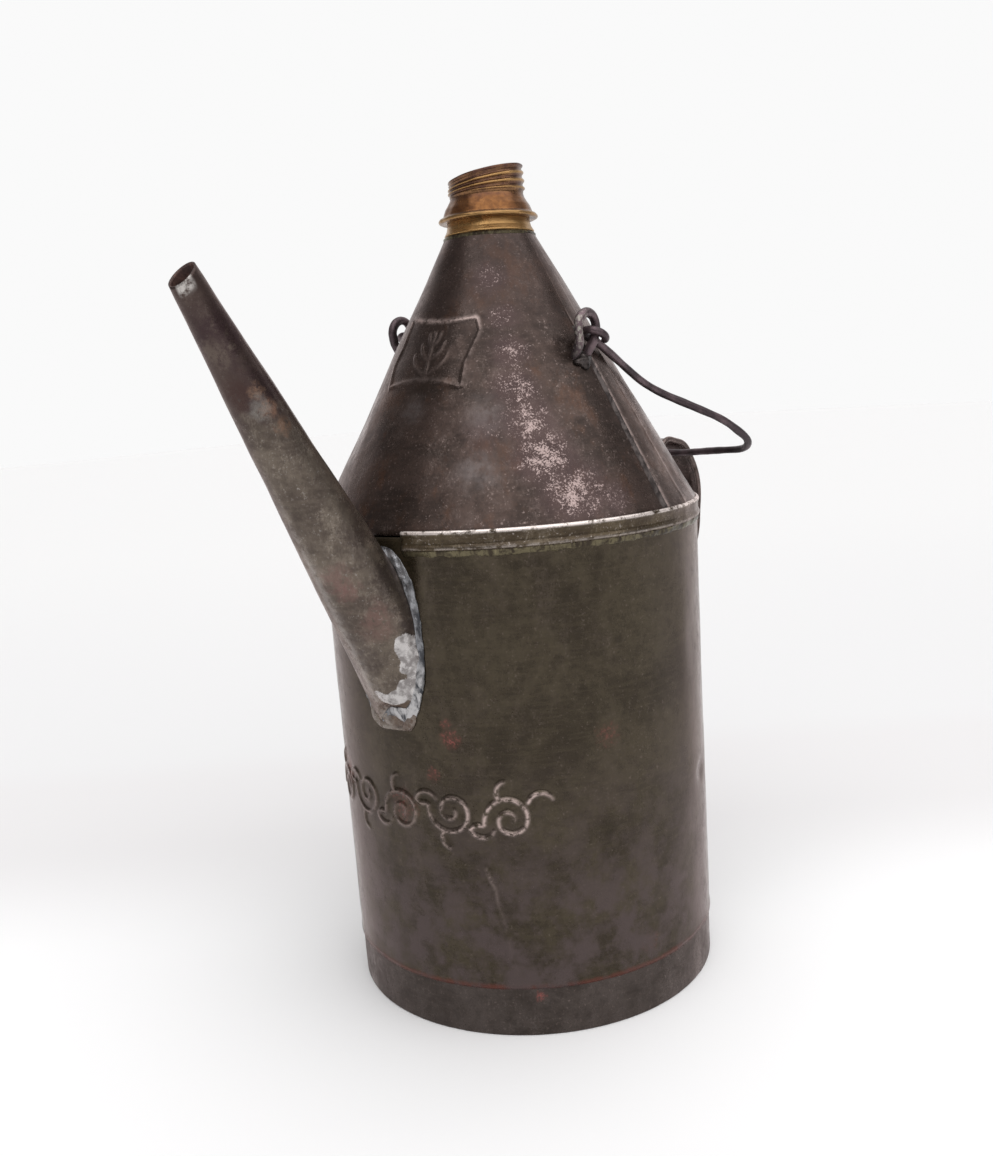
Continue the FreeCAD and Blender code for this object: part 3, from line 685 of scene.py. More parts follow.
# ---- body and foot ----
def body_sheet():
    """The body's cylinder with its ornament, crease, dents and seam, open under the spout's root."""
    azimuths = steps((-180, -46, 1.2), (-46, 52, 0.33), (52, 180, 1.2))[:-1]
    heights = steps((BODY_LOW_Z, 74, 1.5), (74, 116, 0.45), (116, BODY_TOP_Z, 1.7))
    azimuth, height = np.meshgrid(azimuths, heights)
    plain = around(azimuth, body_r(height), height)
    flat = laid_flat(azimuth, height, BODY_FLAT_R)
    relief = 0.16 * wobble(plain, 110, 1) + 0.05 * wobble(plain, 30, 2)
    relief += dents(azimuth, BODY_FLAT_R, height, BODY_DENTS)

    window = (np.abs(azimuth - 3) < 50) & (np.abs(height - 95) < 21)
    ornament = np.zeros_like(relief)
    for line in scroll_lines():
        distance, place = line_distance(flat[window], line)
        ridge = hump(distance, 0, 1.0) * (1 - 0.4 * place ** 3)
        ornament[window] = np.maximum(ornament[window], ridge)
    relief += 0.8 * ornament

    window = (np.abs(azimuth - 30) < 8) & (height < 76)
    distance, place = line_distance(flat[window], laid_flat(*CREASE.T, BODY_FLAT_R))
    fold = np.zeros_like(relief)
    fold[window] = hump(distance, 0, 1.1) * (1 - 0.75 * place)
    relief += 0.5 * fold

    from_seam = np.radians(np.abs((azimuth + 360) % 360 - 180)) * BODY_FLAT_R
    relief += SHEET * (1 - smooth(from_seam, 2.6, 3.6))
    relief += 0.35 * hump(height, BODY_LOW_Z, 1.0)
    relief = np.clip(relief, -1.6, 1.0)
    surface = around(azimuth, body_r(height) + relief, height)

    along = (surface - SPOUT_TIP) @ SPOUT_DOWN
    off_axis = np.linalg.norm(surface - SPOUT_TIP - along[..., None] * SPOUT_DOWN, axis=-1)
    open_here = (off_axis < SPOUT_TIP_R + SPOUT_GROWTH * along - 2.0) & (np.abs(azimuth) < 20)
    faces = grid_faces(*azimuth.shape, False, True)
    faces = faces[~open_here.ravel()[faces].all(axis=1)]
    # Wear on the scroll's ridges and the crease, with a painted highlight on them that grows stronger from
    # the spout's line towards +X.
    wear_and_sheen = ornament ** 2 * (0.25 + 0.75 * smooth(azimuth, 0, 32)) + 0.3 * fold ** 3
    return thicken(make_piece("body_sheet", surface, faces, {"wear_and_sheen": wear_and_sheen}))


def foot_relief(points):
    """Slow waves that fade out at the floor, and a few shallow knocks."""
    waves = 0.10 * wobble(points, 60, 7) * smooth(points[..., 2], 0, 6)
    return waves - 0.08 * smooth(wobble(points, 14, 8), 0.8, 1.6)


dress(body_sheet(), BODY_TIN, "aged_tin_body", "can", "body_shell")

foot_inside_r = FOOT_R - SHEET
foot_hem_r = FOOT_R - 2 * SHEET
foot_outline = [(FOOT_R, 0.3), (FOOT_R, 7), (FOOT_R, 13), (FOOT_R, FOOT_STEP_Z), (foot_inside_r, FOOT_TOP_Z),
                (foot_hem_r, FOOT_TOP_Z), (foot_inside_r, FOOT_STEP_Z), (foot_inside_r, 3.2),
                (foot_hem_r, 3.0), (foot_hem_r, 0.3), (foot_inside_r, 0.0)]
foot_turn = np.linspace(-180, 180, 360, endpoint=False)
foot = lathe("foot_sheet", rounded(foot_outline, 0.3, 3), foot_turn, foot_relief)
dress(foot, FOOT_TIN, "aged_tin_body", "can", "foot_band")

# ---- cone ----
def cartouche_relief(azimuth, height):
    """The cartouche's raised border and the sprig in it, 0 to 1."""
    relief = np.zeros_like(azimuth)
    window = (np.abs(azimuth - 3) < 34) & (np.abs(height - 272) < 20)
    if window.any():
        flat = laid_flat(azimuth, height, CARTOUCHE_FLAT_R)[window]
        distance, _ = line_distance(flat, resampled(laid_flat(*CARTOUCHE.T, CARTOUCHE_FLAT_R), 1.5))
        relief[window] = hump(distance, 0, 0.9)
        for root, angle, length, bend in SPRIG:
            distance, _ = line_distance(flat, leaf(root, angle, length, bend))
            relief[window] = np.maximum(relief[window], 0.7 * hump(distance, 0, 0.7))
    return relief


def cone_sheet(name, azimuths, lap=0.0, top=CONE_TOP_Z):
    """Part of the cone; lap is how far it stands out over the sheet beside it."""
    heights = steps((203.6, 254, 1.3), (254, 290, 0.5), (290, CONE_TOP_Z, 1.3))
    azimuth, height = np.meshgrid(azimuths, heights[heights <= top])
    radius = np.minimum(cone_r(height), BODY_R_TOP)
    plain = around(azimuth, radius, height)
    relief = 0.22 * wobble(plain, 75, 31) * smooth(CONE_TOP_Z - height, 0, 25) * smooth(height, 205, 215)
    relief += 0.05 * wobble(plain, 20, 32)
    relief += dents(azimuth, radius, height, CONE_DENTS)
    raised = cartouche_relief(azimuth, height)
    relief += 0.6 * raised
    # Painted highlight on the cartouche's raised border and sprig, strongest on its upper part.
    wear_and_sheen = raised * smooth(height, 278, 286) * 0.6 + 0.15 * raised
    if lap:
        turn = 90 - np.abs(azimuth - 180)
        standing = 1 - 0.9 * smooth(height, 270, 288)
        relief += standing * lap * smooth(turn, -1.9, 0) * (1 - smooth(turn, 10.5, 13.0))
        relief += standing * (0.3 * hump(turn, 11.5, 1.0) + 0.25 * hump(turn, 0, 1.2))
        # Painted highlights: a pale line along the lap's edge, and a pale streak on the low ridge beside it.
        wear_and_sheen += standing * 0.55 * hump(turn, 0.3, 0.9)
        wear_and_sheen += 0.5 * hump(turn, 12.0, 1.2) * smooth(height, 285, 215)
    relief = np.clip(relief, -1.5, 1.3) * smooth(height, 202.5, 206.5)
    surface = around(azimuth, radius + relief, height)
    return thicken(make_piece(name, surface, grid_faces(*azimuth.shape, False, False), {"wear_and_sheen": wear_and_sheen}))


front = cone_sheet("cone_front_sheet", steps((-98, -30, 1.2), (-30, 36, 0.6), (36, 98, 1.2)))
dress(front, CONE_TIN, "aged_tin_cone", "can", "cone_front")
rear = cone_sheet("cone_rear_sheet", steps((90, 104, 0.4), (104, 256, 1.6), (256, 270, 0.4)), CONE_LAP)
dress(rear, CONE_TIN, "aged_tin_cone", "can", "cone_rear")

# The two laps are soldered up to the ears, and beaten flat above them.
right_seam = cone_sheet("cone_seam_run_right", steps((88.2, 90.0, 0.2)), CONE_LAP, SEAM_TOP_Z)
dress(right_seam, BLACK_SOLDER, "solder", "can", "cone_seam_solder")
left_seam = cone_sheet("cone_seam_run_left", steps((270.0, 271.8, 0.2)), CONE_LAP, SEAM_TOP_Z)
dress(left_seam, BLACK_SOLDER, "solder", "can")

# ---- shoulder band ----
def band_relief(points):
    """Hand-rolled unevenness that never stands far out."""
    return np.minimum(0.12 * wobble(points, 40, 12) + 0.04 * wobble(points, 9, 13), 0.1) - 0.05


band_turn = np.linspace(BAND_GAP, 360 - BAND_GAP, 420)
band_section = [(81.5, BAND_TOP_Z), (81.5, 200.0), (81.6, BAND_LOW_Z), (82.6, BAND_LOW_Z + 0.1),
                (83.05, BAND_LOW_Z + 0.9), (82.7, BAND_LOW_Z + 1.9), (82.3, BAND_LOW_Z + 2.6),
                (82.35, 202.4), (82.75, 203.6), (82.9, 204.5), (82.5, 205.3)]
band_outline = rounded(band_section, 0.5, 3)
band = lathe("shoulder_band_strip", band_outline, band_turn, band_relief, closed=False)
band_z = np.repeat(band_outline[:, 1:], len(band_turn), axis=1)
# Painted highlights: a bright line along the band's top edge and a fainter one on its lower bead.
set_mark(band, "wear_and_sheen", 1.3 * smooth(band_z, 203.9, 204.5) + 0.3 * hump(band_z, BAND_LOW_Z + 1.0, 0.4))
dress(band, BAND_TIN, "aged_tin_band", "can", "shoulder_band")

# ---- brass neck ----
collar_turn = np.linspace(-180, 180, 240, endpoint=False)


def collar():
    """Flared skirt, rolled helical thread and a rim that has been knocked down on one side."""
    skirt = [(17.2, LIP_Z + 0.2), (20.0, LIP_Z), (LIP_R, LIP_Z + 0.5), (LIP_R, LIP_Z + 1.3),
             (20.4, LIP_Z + 2.0), (19.0, LIP_Z + 2.5), (18.6, 329.2), (17.9, 331.0), (16.8, 332.6),
             (15.9, 334.2), (15.45, 335.6)]
    skirt = resampled(np.array(skirt), 0.45)
    thread = np.stack([np.full(46, 15.5), np.linspace(THREAD_LOW_Z, RIM_TOP_Z - 1.4, 46)], axis=1)
    rim = np.array([(15.9, RIM_TOP_Z - 1.1), (16.25, RIM_TOP_Z - 0.7), (16.25, RIM_TOP_Z - 0.3),
                    (15.9, RIM_TOP_Z), (15.2, RIM_TOP_Z), (NECK_BORE_R, RIM_TOP_Z - 0.4)])
    inside = np.array([(NECK_BORE_R, 342.0), (NECK_BORE_R, THREAD_LOW_Z), (16.0, 332.0), (17.2, 329.0),
                       (17.6, LIP_Z + 1.4), (17.2, LIP_Z + 1.0)])
    outline = np.concatenate([skirt, thread, rim, inside])
    first_inside = len(outline) - len(inside)
    radius = np.repeat(outline[:, :1], len(collar_turn), axis=1)
    z = np.repeat(outline[:, 1:], len(collar_turn), axis=1)
    turn = np.radians(collar_turn)[None, :]

    phase = 2 * math.pi * (z - THREAD_LOW_Z) / THREAD_PITCH - turn
    threaded = smooth(z, THREAD_LOW_Z - 0.6, THREAD_LOW_Z + 1.2) * smooth(RIM_TOP_Z - z, 1.0, 2.4)
    threaded[len(skirt) + len(thread):] = 0
    ridge = ((1 + np.cos(phase)) / 2) ** 1.3 * threaded
    radius = radius + 0.85 * ridge

    low_side = (1 - np.cos(turn - math.radians(130))) / 2
    drop = 5.0 * low_side * smooth(z, 333.0, RIM_TOP_Z)
    squeeze = 0.35 * np.cos(2 * (turn - math.radians(60))) * smooth(z, 336, RIM_TOP_Z)
    squeeze = np.where(radius > 15.3, np.minimum(squeeze, 0.1), squeeze)
    points = around(collar_turn[None, :], radius + squeeze, z - drop)
    knocks = np.minimum(0.12 * wobble(points, 9, 15), 0.0)
    points[..., :2] *= (1 + knocks / 18)[..., None]

    # Rubbed gold on the thread's crests and the lip, which also stands in for their painted highlight.
    wear_and_sheen = 0.65 * ridge ** 2.5 + 0.55 * hump(z, LIP_Z + 1.0, 0.8) * (radius > 20)
    grime = smooth(z, RIM_TOP_Z - 2.2, RIM_TOP_Z - 0.8) * 0.85 + 0.5 * hump(z, 334.6, 1.0)
    grime = np.maximum(grime, 0.75 * threaded * (1 - ridge) ** 2)
    grime[first_inside:] = 1.0
    faces = grid_faces(*points.shape[:2], True, True)
    return make_piece("brass_collar", points, faces, {"wear_and_sheen": wear_and_sheen * (1 - 0.7 * grime), "grime": grime})


dress(collar(), BRASS, "brass", "can", "filler_collar")

ring_section = [(18.9, CONE_TOP_Z + 0.1), (19.1, CONE_TOP_Z + 0.6), (18.6, CONE_TOP_Z + 1.3),
                (17.9, 322.4), (17.4, 324.4), (17.2, 326.2), (16.4, 326.2), (17.2, CONE_TOP_Z - 0.5),
                (19.3, 315.2), (19.9, 315.4), (17.95, CONE_TOP_Z)]
neck = lathe("neck_ring_turned", rounded(ring_section, 0.25, 3), collar_turn,
             lambda points: 0.04 * wobble(points, 8, 16))
set_mark(neck, "wear_and_sheen", np.full(len(neck.data.vertices), 0.6))
dress(neck, BRASS, "brass", "can", "neck_ring")

# ---- spout ----
FLANGE_LIFT = 1.4
# Solder left on the sheet: millimetres from the mouth, angle round, half width and half length.
SOLDER_SMEARS = [(156, 20, 5.6, 7.5), (164, 26, 5.4, 8.0), (171, 42, 5.4, 6.0), (173, 62, 5.5, 4.2),
                 (172, 78, 4.2, 3.0)]


def spout_root(turn):
    """How far down the spout meets the can at each angle."""
    low, high = np.full(turn.shape, 40.0), np.full(turn.shape, 199.0)
    for _ in range(40):
        middle = (low + high) / 2
        point = spout_point(middle, turn)
        outside = np.hypot(point[..., 0], point[..., 1]) > can_r(point[..., 2])
        low, high = np.where(outside, middle, low), np.where(outside, high, middle)
    return low


def flange_top(x):
    """Below this height the end of the spout's sheet is beaten flat onto the body; only on the +X side."""
    return 134.0 - 9.0 * smooth(-x, -1, 9)


def pressed(points):
    """The spout's points with its beaten end laid on the body."""
    radius = np.hypot(points[..., 0], points[..., 1])
    gap = radius - can_r(points[..., 2])
    above = points[..., 2] - flange_top(points[..., 0])
    most = FLANGE_LIFT + 0.2 * wobble(points, 7, 45) + 7.5 * smooth(above, 0, 8)
    flat = np.where(above < 8, np.minimum(gap, most), gap)
    points = points.copy()
    points[..., :2] *= ((radius + flat - gap) / radius)[..., None]
    return points


def spout_sheet():
    """The tapered tube with its lapped seam, its beaten end, and the solder smeared on it."""
    turns = np.linspace(-180, 180, 160, endpoint=False)
    root = spout_root(turns)
    mouth = math.tan(MOUTH_SKEW) * SPOUT_TIP_R * np.sin(np.radians(turns))
    share = steps((0, 0.06, 0.006), (0.06, 0.88, 0.0075), (0.88, 1, 0.004))[:, None]
    along = mouth + (root + 0.8 - mouth) * share
    turn = np.broadcast_to(turns, along.shape)
    plain = spout_point(along, turn)
    relief = 0.12 * wobble(plain, 45, 41) + 0.05 * wobble(plain, 14, 42)
    relief += 0.45 * (1 - smooth(np.abs((turn + 90 + 180) % 360 - 180), 8, 11))
    relief -= 0.5 * hump(along, 118, 16) * hump(turn, 20, 40)
    relief *= smooth(along - mouth, 0, 6)

    smeared = np.zeros_like(along)
    for middle, place, reach, rise in SOLDER_SMEARS:
        across = np.radians(turn - place) * (SPOUT_TIP_R + SPOUT_GROWTH * along)
        blot = np.hypot(across / reach, (along - middle) / rise) + 0.16 * wobble(plain, 7, 43)
        smeared = np.maximum(smeared, smooth(blot, 1.2, 0.7))
    relief = np.minimum(relief, 0.3) - 0.03 + smeared * (0.35 + 0.15 * wobble(plain, 4.5, 44))

    outer = pressed(spout_point(along, turn, relief))
    lip_wear = 0.7 * smooth(along - mouth, 4.6, 2.6) * smooth(np.abs(turn - 44), 40, 24)
    # Painted highlight: a light streak along the spout's under side, growing from 60 mm below the mouth.
    side_highlight = 0.25 * hump(turn, 95, 10) * smooth(along, 60, 120)
    marks = {"wear_and_sheen": np.clip(lip_wear + side_highlight, 0, 1), "solder": smeared}
    return thicken(make_piece("spout_sheet", outer, grid_faces(*along.shape, False, True), marks))


spout = dress(spout_sheet(), SPOUT_TIN, "aged_tin_spout", "can", "spout_tube")
spout.data.materials.append(SPOUT_INSIDE)
spout.modifiers["sheet"].material_offset = 1


def on_can(across, z, lift):
    """A point on the can from its place across, in mm from the spout's line, and its height."""
    return around(np.degrees(across / ROOT_FLAT_R), can_r(z) + lift, z)


def spout_fillet():
    """Hand-run solder in the corner between spout and can, widest on the +X side and heaped up low down."""
    turn = np.linspace(-180, 180, 320, endpoint=False)
    root = spout_root(turn)
    end = spout_point(root, turn)
    raised = np.maximum(end[:, 2], flange_top(end[:, 0]) - 1.0 - 0.012 * end[:, 0] ** 2)
    over_flange = smooth(raised - end[:, 2], 0.5, 3.0)
    root = root - (raised - end[:, 2]) / 0.9
    flat = np.stack([np.arctan2(end[:, 0], -end[:, 1]) * ROOT_FLAT_R, raised], axis=1)
    across, up = flat.T
    corner = on_can(across, up, FLANGE_LIFT * over_flange)
    off_can = around(np.degrees(across / ROOT_FLAT_R), 1.0, 0.0)
    ahead = np.roll(flat, -1, axis=0) - np.roll(flat, 1, axis=0)
    ahead /= np.linalg.norm(ahead, axis=1, keepdims=True)
    outward = np.stack([ahead[:, 1], -ahead[:, 0]], axis=1)
    outward *= np.sign(np.sum(outward * (flat - flat.mean(axis=0)), axis=1, keepdims=True))

    right = smooth(across, -3, 8)
    low = smooth(158 - up, 0, 14)
    high = smooth(up, 162, 192) * smooth(199.5 - up, 0, 2.5)
    below_band = smooth(200.0 - up, 0, 3.0)
    on_body = 0.6 + 1.2 * right * below_band + 2.8 * high * right + 0.2 * wobble(corner, 6, 61)
    on_spout = 0.9 + 1.7 * right * below_band + 2.0 * low * right + 0.3 * wobble(corner, 6, 64)
    bulge = 0.2 + 0.6 * right + 0.5 * low * right + 0.25 * wobble(corner, 5, 62)
    on_body, on_spout = np.clip(on_body, 0.4, 8.5), np.clip(on_spout, 0.7, 6.5)

    start = pressed(spout_point(root - on_spout, turn)) + 0.12 * off_can
    edge = flat + outward * on_body[:, None]
    finish = on_can(edge[:, 0], edge[:, 1], 0.05 + (FLANGE_LIFT + 0.1) * over_flange)
    normal = spout_point(root, turn, 1.0) - spout_point(root, turn) + off_can
    normal /= np.linalg.norm(normal, axis=1, keepdims=True)
    control = 0.5 * (start + finish) + normal * np.clip(bulge - 0.6, -0.5, 1.6)[:, None]
    loop = []
    for t in np.linspace(0, 1, 11):
        point = (1 - t) ** 2 * start + 2 * t * (1 - t) * control + t * t * finish
        loop.append(point + normal * (0.22 * wobble(point, 4.5, 63) * math.sin(math.pi * t))[:, None])
    loop.append(corner - normal * 0.7)
    points = np.array(loop)
    bright = (0.2 * smooth(up, 150, 175) + 0.9 * low) * right
    bright = np.repeat(bright[None, :], len(loop), axis=0)
    faces = grid_faces(*points.shape[:2], True, True)
    return make_piece("spout_solder_run", points, faces, {"bright": bright})


dress(spout_fillet(), SOLDER, "solder", "can", "spout_solder")


def spout_tab():
    """The beaten-out tongue of the spout's sheet, lying on the body below the root."""
    across, up = np.meshgrid(np.linspace(-1, 1, 61), np.linspace(-1, 1, 37))
    below = np.minimum(up, 0)
    x = 0.8 + across * 12.4 * np.sqrt(np.clip(1 - (0.72 - 0.22 * across) * below ** 2, 0, 1))
    z = 131.6 + up * 6.1 + 0.3 * across
    edge = (1 - np.abs(across) ** 6) * (1 - np.abs(below) ** 5)
    top = on_can(x, z, 0.12 + 1.05 * smooth(edge, 0.0, 0.4))
    lumps = 0.25 * np.clip(wobble(top, 5, 51), -1.4, 1.4) * edge
    top += around(np.degrees(x / ROOT_FLAT_R), 1.0, 0.0) * lumps[..., None]
    back = on_can(x, z, -0.4)
    rows, cols = across.shape
    points = np.concatenate([top, back[::-1]])
    faces = [list(quad) for quad in grid_faces(2 * rows, cols, True, False)]
    faces.append([row * cols for row in range(2 * rows)])
    faces.append([row * cols + cols - 1 for row in reversed(range(2 * rows))])
    # Painted highlight in a band just inside the tongue's rim; none on its back.
    wear_and_sheen = np.concatenate([edge * (1 - edge) * 0.8, 0 * edge])
    return make_piece("spout_tab_beaten", points, faces, {"wear_and_sheen": wear_and_sheen})


dress(spout_tab(), SPOUT_TIN, "aged_tin_spout", "can")

# ---- ears ----
tilt = np.array([[math.cos(HINGE_TILT), 0, math.sin(HINGE_TILT)], [0, 1, 0],
                 [-math.sin(HINGE_TILT), 0, math.cos(HINGE_TILT)]])


def on_hinge(points):
    """From the hinge's own frame, with its axis along X, to the can."""
    return points @ tilt.T + HINGE


# In the hinge's frame: where a leg leaves the eye, and where it reaches the cone.
EAR_KNEE = np.array([0.0, 4.75, -5.0])
EAR_FOOT = np.array([5.0, 2.9, -13.6])
EAR_PAD_DROP = 12.6


def ear_path(side):
    """Up one leg from the cone, round the eye and down the other leg, in the hinge's own frame."""
    turn = np.linspace(0, math.pi, 31)
    eye = np.stack([0 * turn, EAR_RING_R * np.cos(turn), EAR_RING_R * np.sin(turn)], axis=1)
    foot = EAR_FOOT * [-side, 1, 1]
    shin = 0.5 * (foot + EAR_KNEE) + [0, 0.1, 0]
    leg = np.array([foot, shin, 0.12 * foot + 0.88 * EAR_KNEE, 0.85 * EAR_KNEE + 0.15 * eye[0]])
    path = np.concatenate([leg, eye, leg[::-1] * [1, -1, 1]])
    return resampled(path, 0.7) + [side * EAR_X, 0, 0]


for side, word in ((-1, "left"), (1, "right")):
    path = ear_path(side)
    ear = wire("ear_%s_wire" % word, on_hinge(path), EAR_WIRE_R, (1, 0, 0), 0.05)
    rubbed = hump(path[:, 1], -EAR_RING_R, 5.0) * hump(path[:, 2], -1.0, 7.0) * (side > 0)
    set_mark(ear, "bright", np.repeat(rubbed, WIRE_SIDES))
    dress(ear, WIRE, "black_wire", "can", "ear_%s" % word)

# ---- bail ----
# Where the bail's leg runs into its eye, from the middle of the eye: inwards and away from the hinge.
EYE_ENTRY = (-2.4, 3.9)


def bail_line():
    """The bail's middle line in the hinge's frame, lying flat: its bow, and the open loop at each end."""
    half = [(30.0, BAIL_REACH, 0), (78.0, BAIL_REACH - 9.5, 0), (73.0, 83.0, 0), (52.0, 52.0, 0),
            (EAR_X + EYE_ENTRY[0], EAR_RING_R + EYE_ENTRY[1], 0)]
    half_radii = [80.0, 15.0, 30.0, 40.0]
    mirrored = [(-x, y, z) for x, y, z in half[::-1]]
    bow = arc_path(mirrored + half, half_radii[::-1] + half_radii, 1.0)
    turn = math.atan2(EYE_ENTRY[1], EYE_ENTRY[0]) + np.linspace(0.12, 2 * math.pi - 0.75, 40)
    eye = np.stack([EAR_X + BAIL_EYE_R * np.cos(turn), EAR_RING_R + BAIL_EYE_R * np.sin(turn), 0 * turn],
                   axis=1)
    line = resampled(np.concatenate([eye[::-1] * [-1, 1, 1], bow, eye]), 0.9)
    line[:, 2] += 0.25 * wobble(line, 55, 71) * smooth(line[:, 1], 15, 40)
    return line


lying_back = np.array([[1, 0, 0], [0, math.cos(BAIL_REST), math.sin(BAIL_REST)],
                       [0, -math.sin(BAIL_REST), math.cos(BAIL_REST)]])
bail = wire("bail_wire", on_hinge(bail_line() @ lying_back.T), BAIL_WIRE_R, lying_back[:, 2], 0.035)
dress(bail, WIRE, "black_wire", "bail", "bail_handle")

# ---- strap handle ----
def strap_profile():
    """The strap's closed section: a thin sheet with an edge rolled round at each side."""
    profile = []
    reach = math.asin(HANDLE_SHEET / 2 / HANDLE_HEM_R)
    for side in (1, -1):
        for angle in np.linspace(-math.pi + reach, math.pi - reach, 15):
            profile.append((side * (HANDLE_HALF_WIDTH + HANDLE_HEM_R * math.cos(angle)),
                            side * HANDLE_HEM_R * math.sin(angle)))
        for share in np.linspace(0.1, 0.9, 9):
            x = side * (HANDLE_HALF_WIDTH - 1.3) * (1 - 2 * share)
            profile.append((x, side * (HANDLE_SHEET / 2 + 0.1 * math.sin(math.pi * share))))
    return np.array(profile)


top_foot_y = 83.6
low_foot_y = float(body_r(130.0)) + 1.1
strap_points = [(0, top_foot_y, 188.0), (0, top_foot_y, 196.7), (0, 110.5, 225.8), (0, 129.0, 221.5),
                (0, 142.5, 202.0), (0, 137.0, 172.0), (0, 110.0, 141.0), (0, low_foot_y, 141.0),
                (0, low_foot_y, 122.0)]
strap_line = arc_path(strap_points, [5.0, 9.0, 14.0, 30.0, 40.0, 26.0, 7.0], 1.2)
profile = strap_profile()
# Painted highlight along both rolled hems of the strap.
hem_highlight = 0.30 * hump(np.abs(profile[:, 0]), HANDLE_HALF_WIDTH + 0.4, 0.9)
unevenness = 1 + 0.012 * wobble(strap_line, 30, 81)
strap = sweep("strap_handle", strap_line, profile, (1, 0, 0),
              np.repeat(unevenness[:, None], len(profile), axis=1),
              {"wear_and_sheen": np.tile(hem_highlight, len(strap_line))})
dress(strap, HANDLE_TIN, "aged_tin_handle", "can", "rear_handle")

# ---- solder under the band and under the ears ----
shoulder_section = [(81.35, 195.0), (82.0, 196.0), (82.6, BAND_LOW_Z + 0.2), (81.4, BAND_LOW_Z + 0.2)]
shoulder_line = lathe("shoulder_solder_run", rounded(shoulder_section, 0.3, 3), band_turn,
                      lambda points: 0.18 * (wobble(points, 7, 91) - 0.6), closed=False)
dress(shoulder_line, DARK_SOLDER, "solder", "can", "shoulder_solder")


def mound(name, point, normal, radius, height, stretch, seed):
    """A low uneven heap of solder on a surface."""
    normal = np.asarray(normal, dtype=float) / np.linalg.norm(normal)
    side = np.cross((0, 0, 1), normal)
    side /= np.linalg.norm(side)
    up = np.cross(normal, side)
    turn = np.linspace(0, 2 * math.pi, 48, endpoint=False)[None, :]
    reach = np.linspace(1, 0.02, 14)[:, None]
    circle = 3 * np.stack([np.cos(turn), np.sin(turn), 0 * turn], axis=-1)
    rim = radius * (1 + 0.14 * wobble(circle, 3.0, seed))
    dome = height * np.sqrt(np.clip(1 - reach ** 2.2, 0, 1)) * np.ones_like(turn)
    flat_side, flat_up = rim * reach * np.cos(turn), rim * reach * np.sin(turn) * stretch
    points = (np.asarray(point) + flat_side[..., None] * side + flat_up[..., None] * up
              + (dome - 0.9)[..., None] * normal)
    points += normal * (0.28 * wobble(points, 4.0, seed + 1) * np.sqrt(1 - reach ** 2 + 1e-6))[..., None]
    return make_piece(name, points, capped_rows(*points.shape[:2]))


for side, word in ((-1, "left"), (1, "right")):
    pad_z = HINGE[2] - side * EAR_X * math.tan(HINGE_TILT) - EAR_PAD_DROP
    place = (side * cone_r(pad_z), HINGE[1], pad_z)
    heap = mound("ear_%s_solder_heap" % word, place, (side, 0, 0.55), 5.2, 3.4, 0.85, 95 + side)
    dress(heap, BLACK_SOLDER, "solder", "can", "ear_solder_%s" % word)

# ---- carried-over CAD nodes ----
for node in ("bottom_solder", "foot_solder", "neck_solder", "handle_solder_top", "handle_solder_bottom",
             "bottom_disc"):
    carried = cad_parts[node]
    carried.data.materials.clear()
    carried.data.materials.append(FOOT_TIN if node == "bottom_disc" else DARK_SOLDER)

# ---- floor, light and camera ----
VIEW_AZIMUTH = math.radians(40.0)
toward_view = Vector((math.sin(VIEW_AZIMUTH), -math.cos(VIEW_AZIMUTH), 0.0))

# Floor tones: white in front of the can; the greyer tones behind it are painted shade.
FRONT_PAPER = (0.96, 0.96, 0.965)
DIM_PAPER = (0.80, 0.79, 0.795)
SWEEP_SHADE_PAPER = (0.81, 0.81, 0.815)
FAR_PAPER = (0.84, 0.84, 0.84)
FLOOR_REACH = 6.0


def paper_floor():
    """White paper with painted shade behind the can: greyer just behind it, and a grey band where a paper
    sweep would curve up, though this floor is flat.
    """
    paint = Paint("floor_paper")
    behind = paint.node("ShaderNodeVectorMath", {0: paint.place, 1: -toward_view},
                        operation="DOT_PRODUCT").outputs["Value"]
    tone = paint.mix(paint.range(behind, 0.0, 0.16), FRONT_PAPER, DIM_PAPER)
    tone = paint.mix(paint.range(behind, 0.26, 0.33), tone, SWEEP_SHADE_PAPER)
    tone = paint.mix(paint.range(behind, 0.33, 1.6), tone, FAR_PAPER)
    return paint.finish(tone, 0.75, 0.0)


floor_mesh = bpy.data.meshes.new("floor")
floor_corners = [(x * FLOOR_REACH, y * FLOOR_REACH, 0) for x, y in ((-1, -1), (1, -1), (1, 1), (-1, 1))]
floor_mesh.from_pydata(floor_corners, [], [(0, 1, 2, 3)])
floor = add_object("floor", floor_mesh)
floor_mesh.materials.append(paper_floor())

BACKDROP_AZIMUTH = VIEW_AZIMUTH - math.radians(8.0)
STUDIO_GREY = (0.20, 0.19, 0.19, 1)
BACKDROP_WHITE = (0.955, 0.955, 0.955, 1)


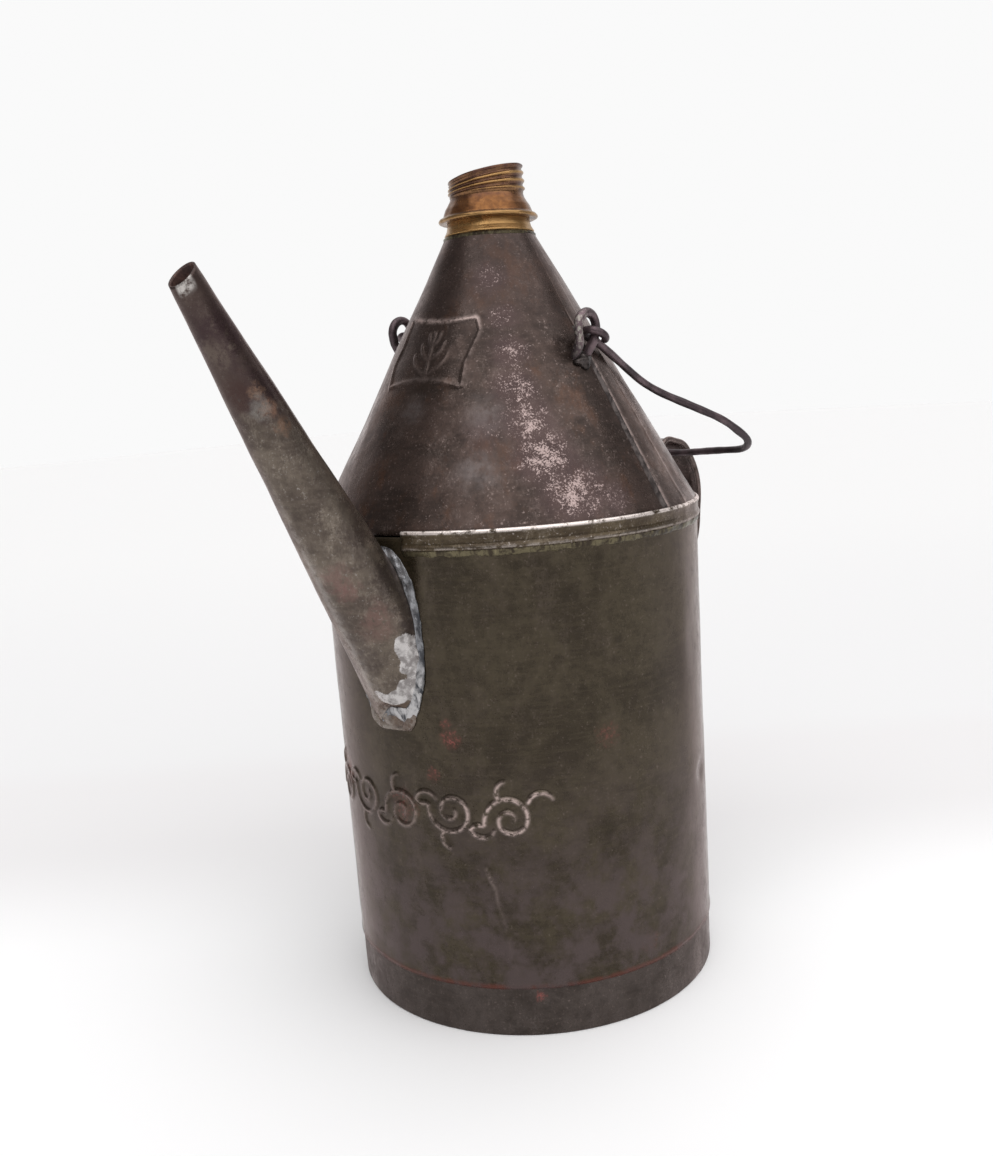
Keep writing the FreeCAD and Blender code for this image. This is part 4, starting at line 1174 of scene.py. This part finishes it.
def studio_world():
    """A dim grey room with a bright white backdrop behind the can."""
    world = bpy.data.worlds.new("studio")
    world.use_nodes = True
    nodes, links = world.node_tree.nodes, world.node_tree.links
    facing = nodes.new("ShaderNodeVectorMath")
    facing.operation = "DOT_PRODUCT"
    links.new(nodes.new("ShaderNodeTexCoord").outputs["Generated"], facing.inputs[0])
    facing.inputs[1].default_value = (-math.sin(BACKDROP_AZIMUTH), math.cos(BACKDROP_AZIMUTH), 0.0)
    remap = nodes.new("ShaderNodeMapRange")
    remap.inputs["From Min"].default_value = -1.0
    links.new(facing.outputs["Value"], remap.inputs["Value"])
    ramp = nodes.new("ShaderNodeValToRGB")
    ramp.color_ramp.interpolation = "EASE"
    for element, position, tone in zip(ramp.color_ramp.elements, (0.68, 0.88), (STUDIO_GREY, BACKDROP_WHITE)):
        element.position = position
        element.color = tone
    links.new(remap.outputs["Result"], ramp.inputs["Fac"])
    links.new(ramp.outputs["Color"], nodes["Background"].inputs["Color"])
    return world


bpy.context.scene.world = studio_world()

SKY_AZIMUTH = VIEW_AZIMUTH + math.radians(25)
SKY_HEIGHT = math.radians(62)
sky = bpy.data.lights.new("sky", "SUN")
sky.energy = 2.9
sky.angle = math.radians(95)
lamp = add_object("sky", sky)
level_reach = math.cos(SKY_HEIGHT)
from_sky = Vector((math.sin(SKY_AZIMUTH) * level_reach, -math.cos(SKY_AZIMUTH) * level_reach,
                   math.sin(SKY_HEIGHT)))
lamp.rotation_euler = (-from_sky).to_track_quat("-Z", "Y").to_euler()

LENS, SENSOR_WIDTH = 35.8, 36.0
CAMERA_DISTANCE, CAMERA_HEIGHT = 0.5034, 0.2568
YAW, PITCH, ROLL = math.radians(-0.825), math.radians(-9.42), math.radians(-4.068)

camera_data = bpy.data.cameras.new("camera")
camera_data.lens = LENS
camera_data.sensor_width = SENSOR_WIDTH
camera_data.clip_start = 0.02
camera = add_object("camera", camera_data)
ahead = Vector((math.sin(YAW) * math.cos(PITCH), math.cos(YAW) * math.cos(PITCH), math.sin(PITCH)))
level = Vector((math.cos(YAW), -math.sin(YAW), 0.0))
upright = level.cross(ahead)
right = level * math.cos(ROLL) + upright * math.sin(ROLL)
up = upright * math.cos(ROLL) - level * math.sin(ROLL)
turn = Matrix.Rotation(VIEW_AZIMUTH, 3, "Z")
pose = Matrix((turn @ right, turn @ up, -(turn @ ahead))).transposed().to_4x4()
pose.translation = toward_view * CAMERA_DISTANCE + Vector((0, 0, CAMERA_HEIGHT))
camera.matrix_world = pose
bpy.context.scene.camera = camera
bpy.context.scene.view_settings.view_transform = "Standard"
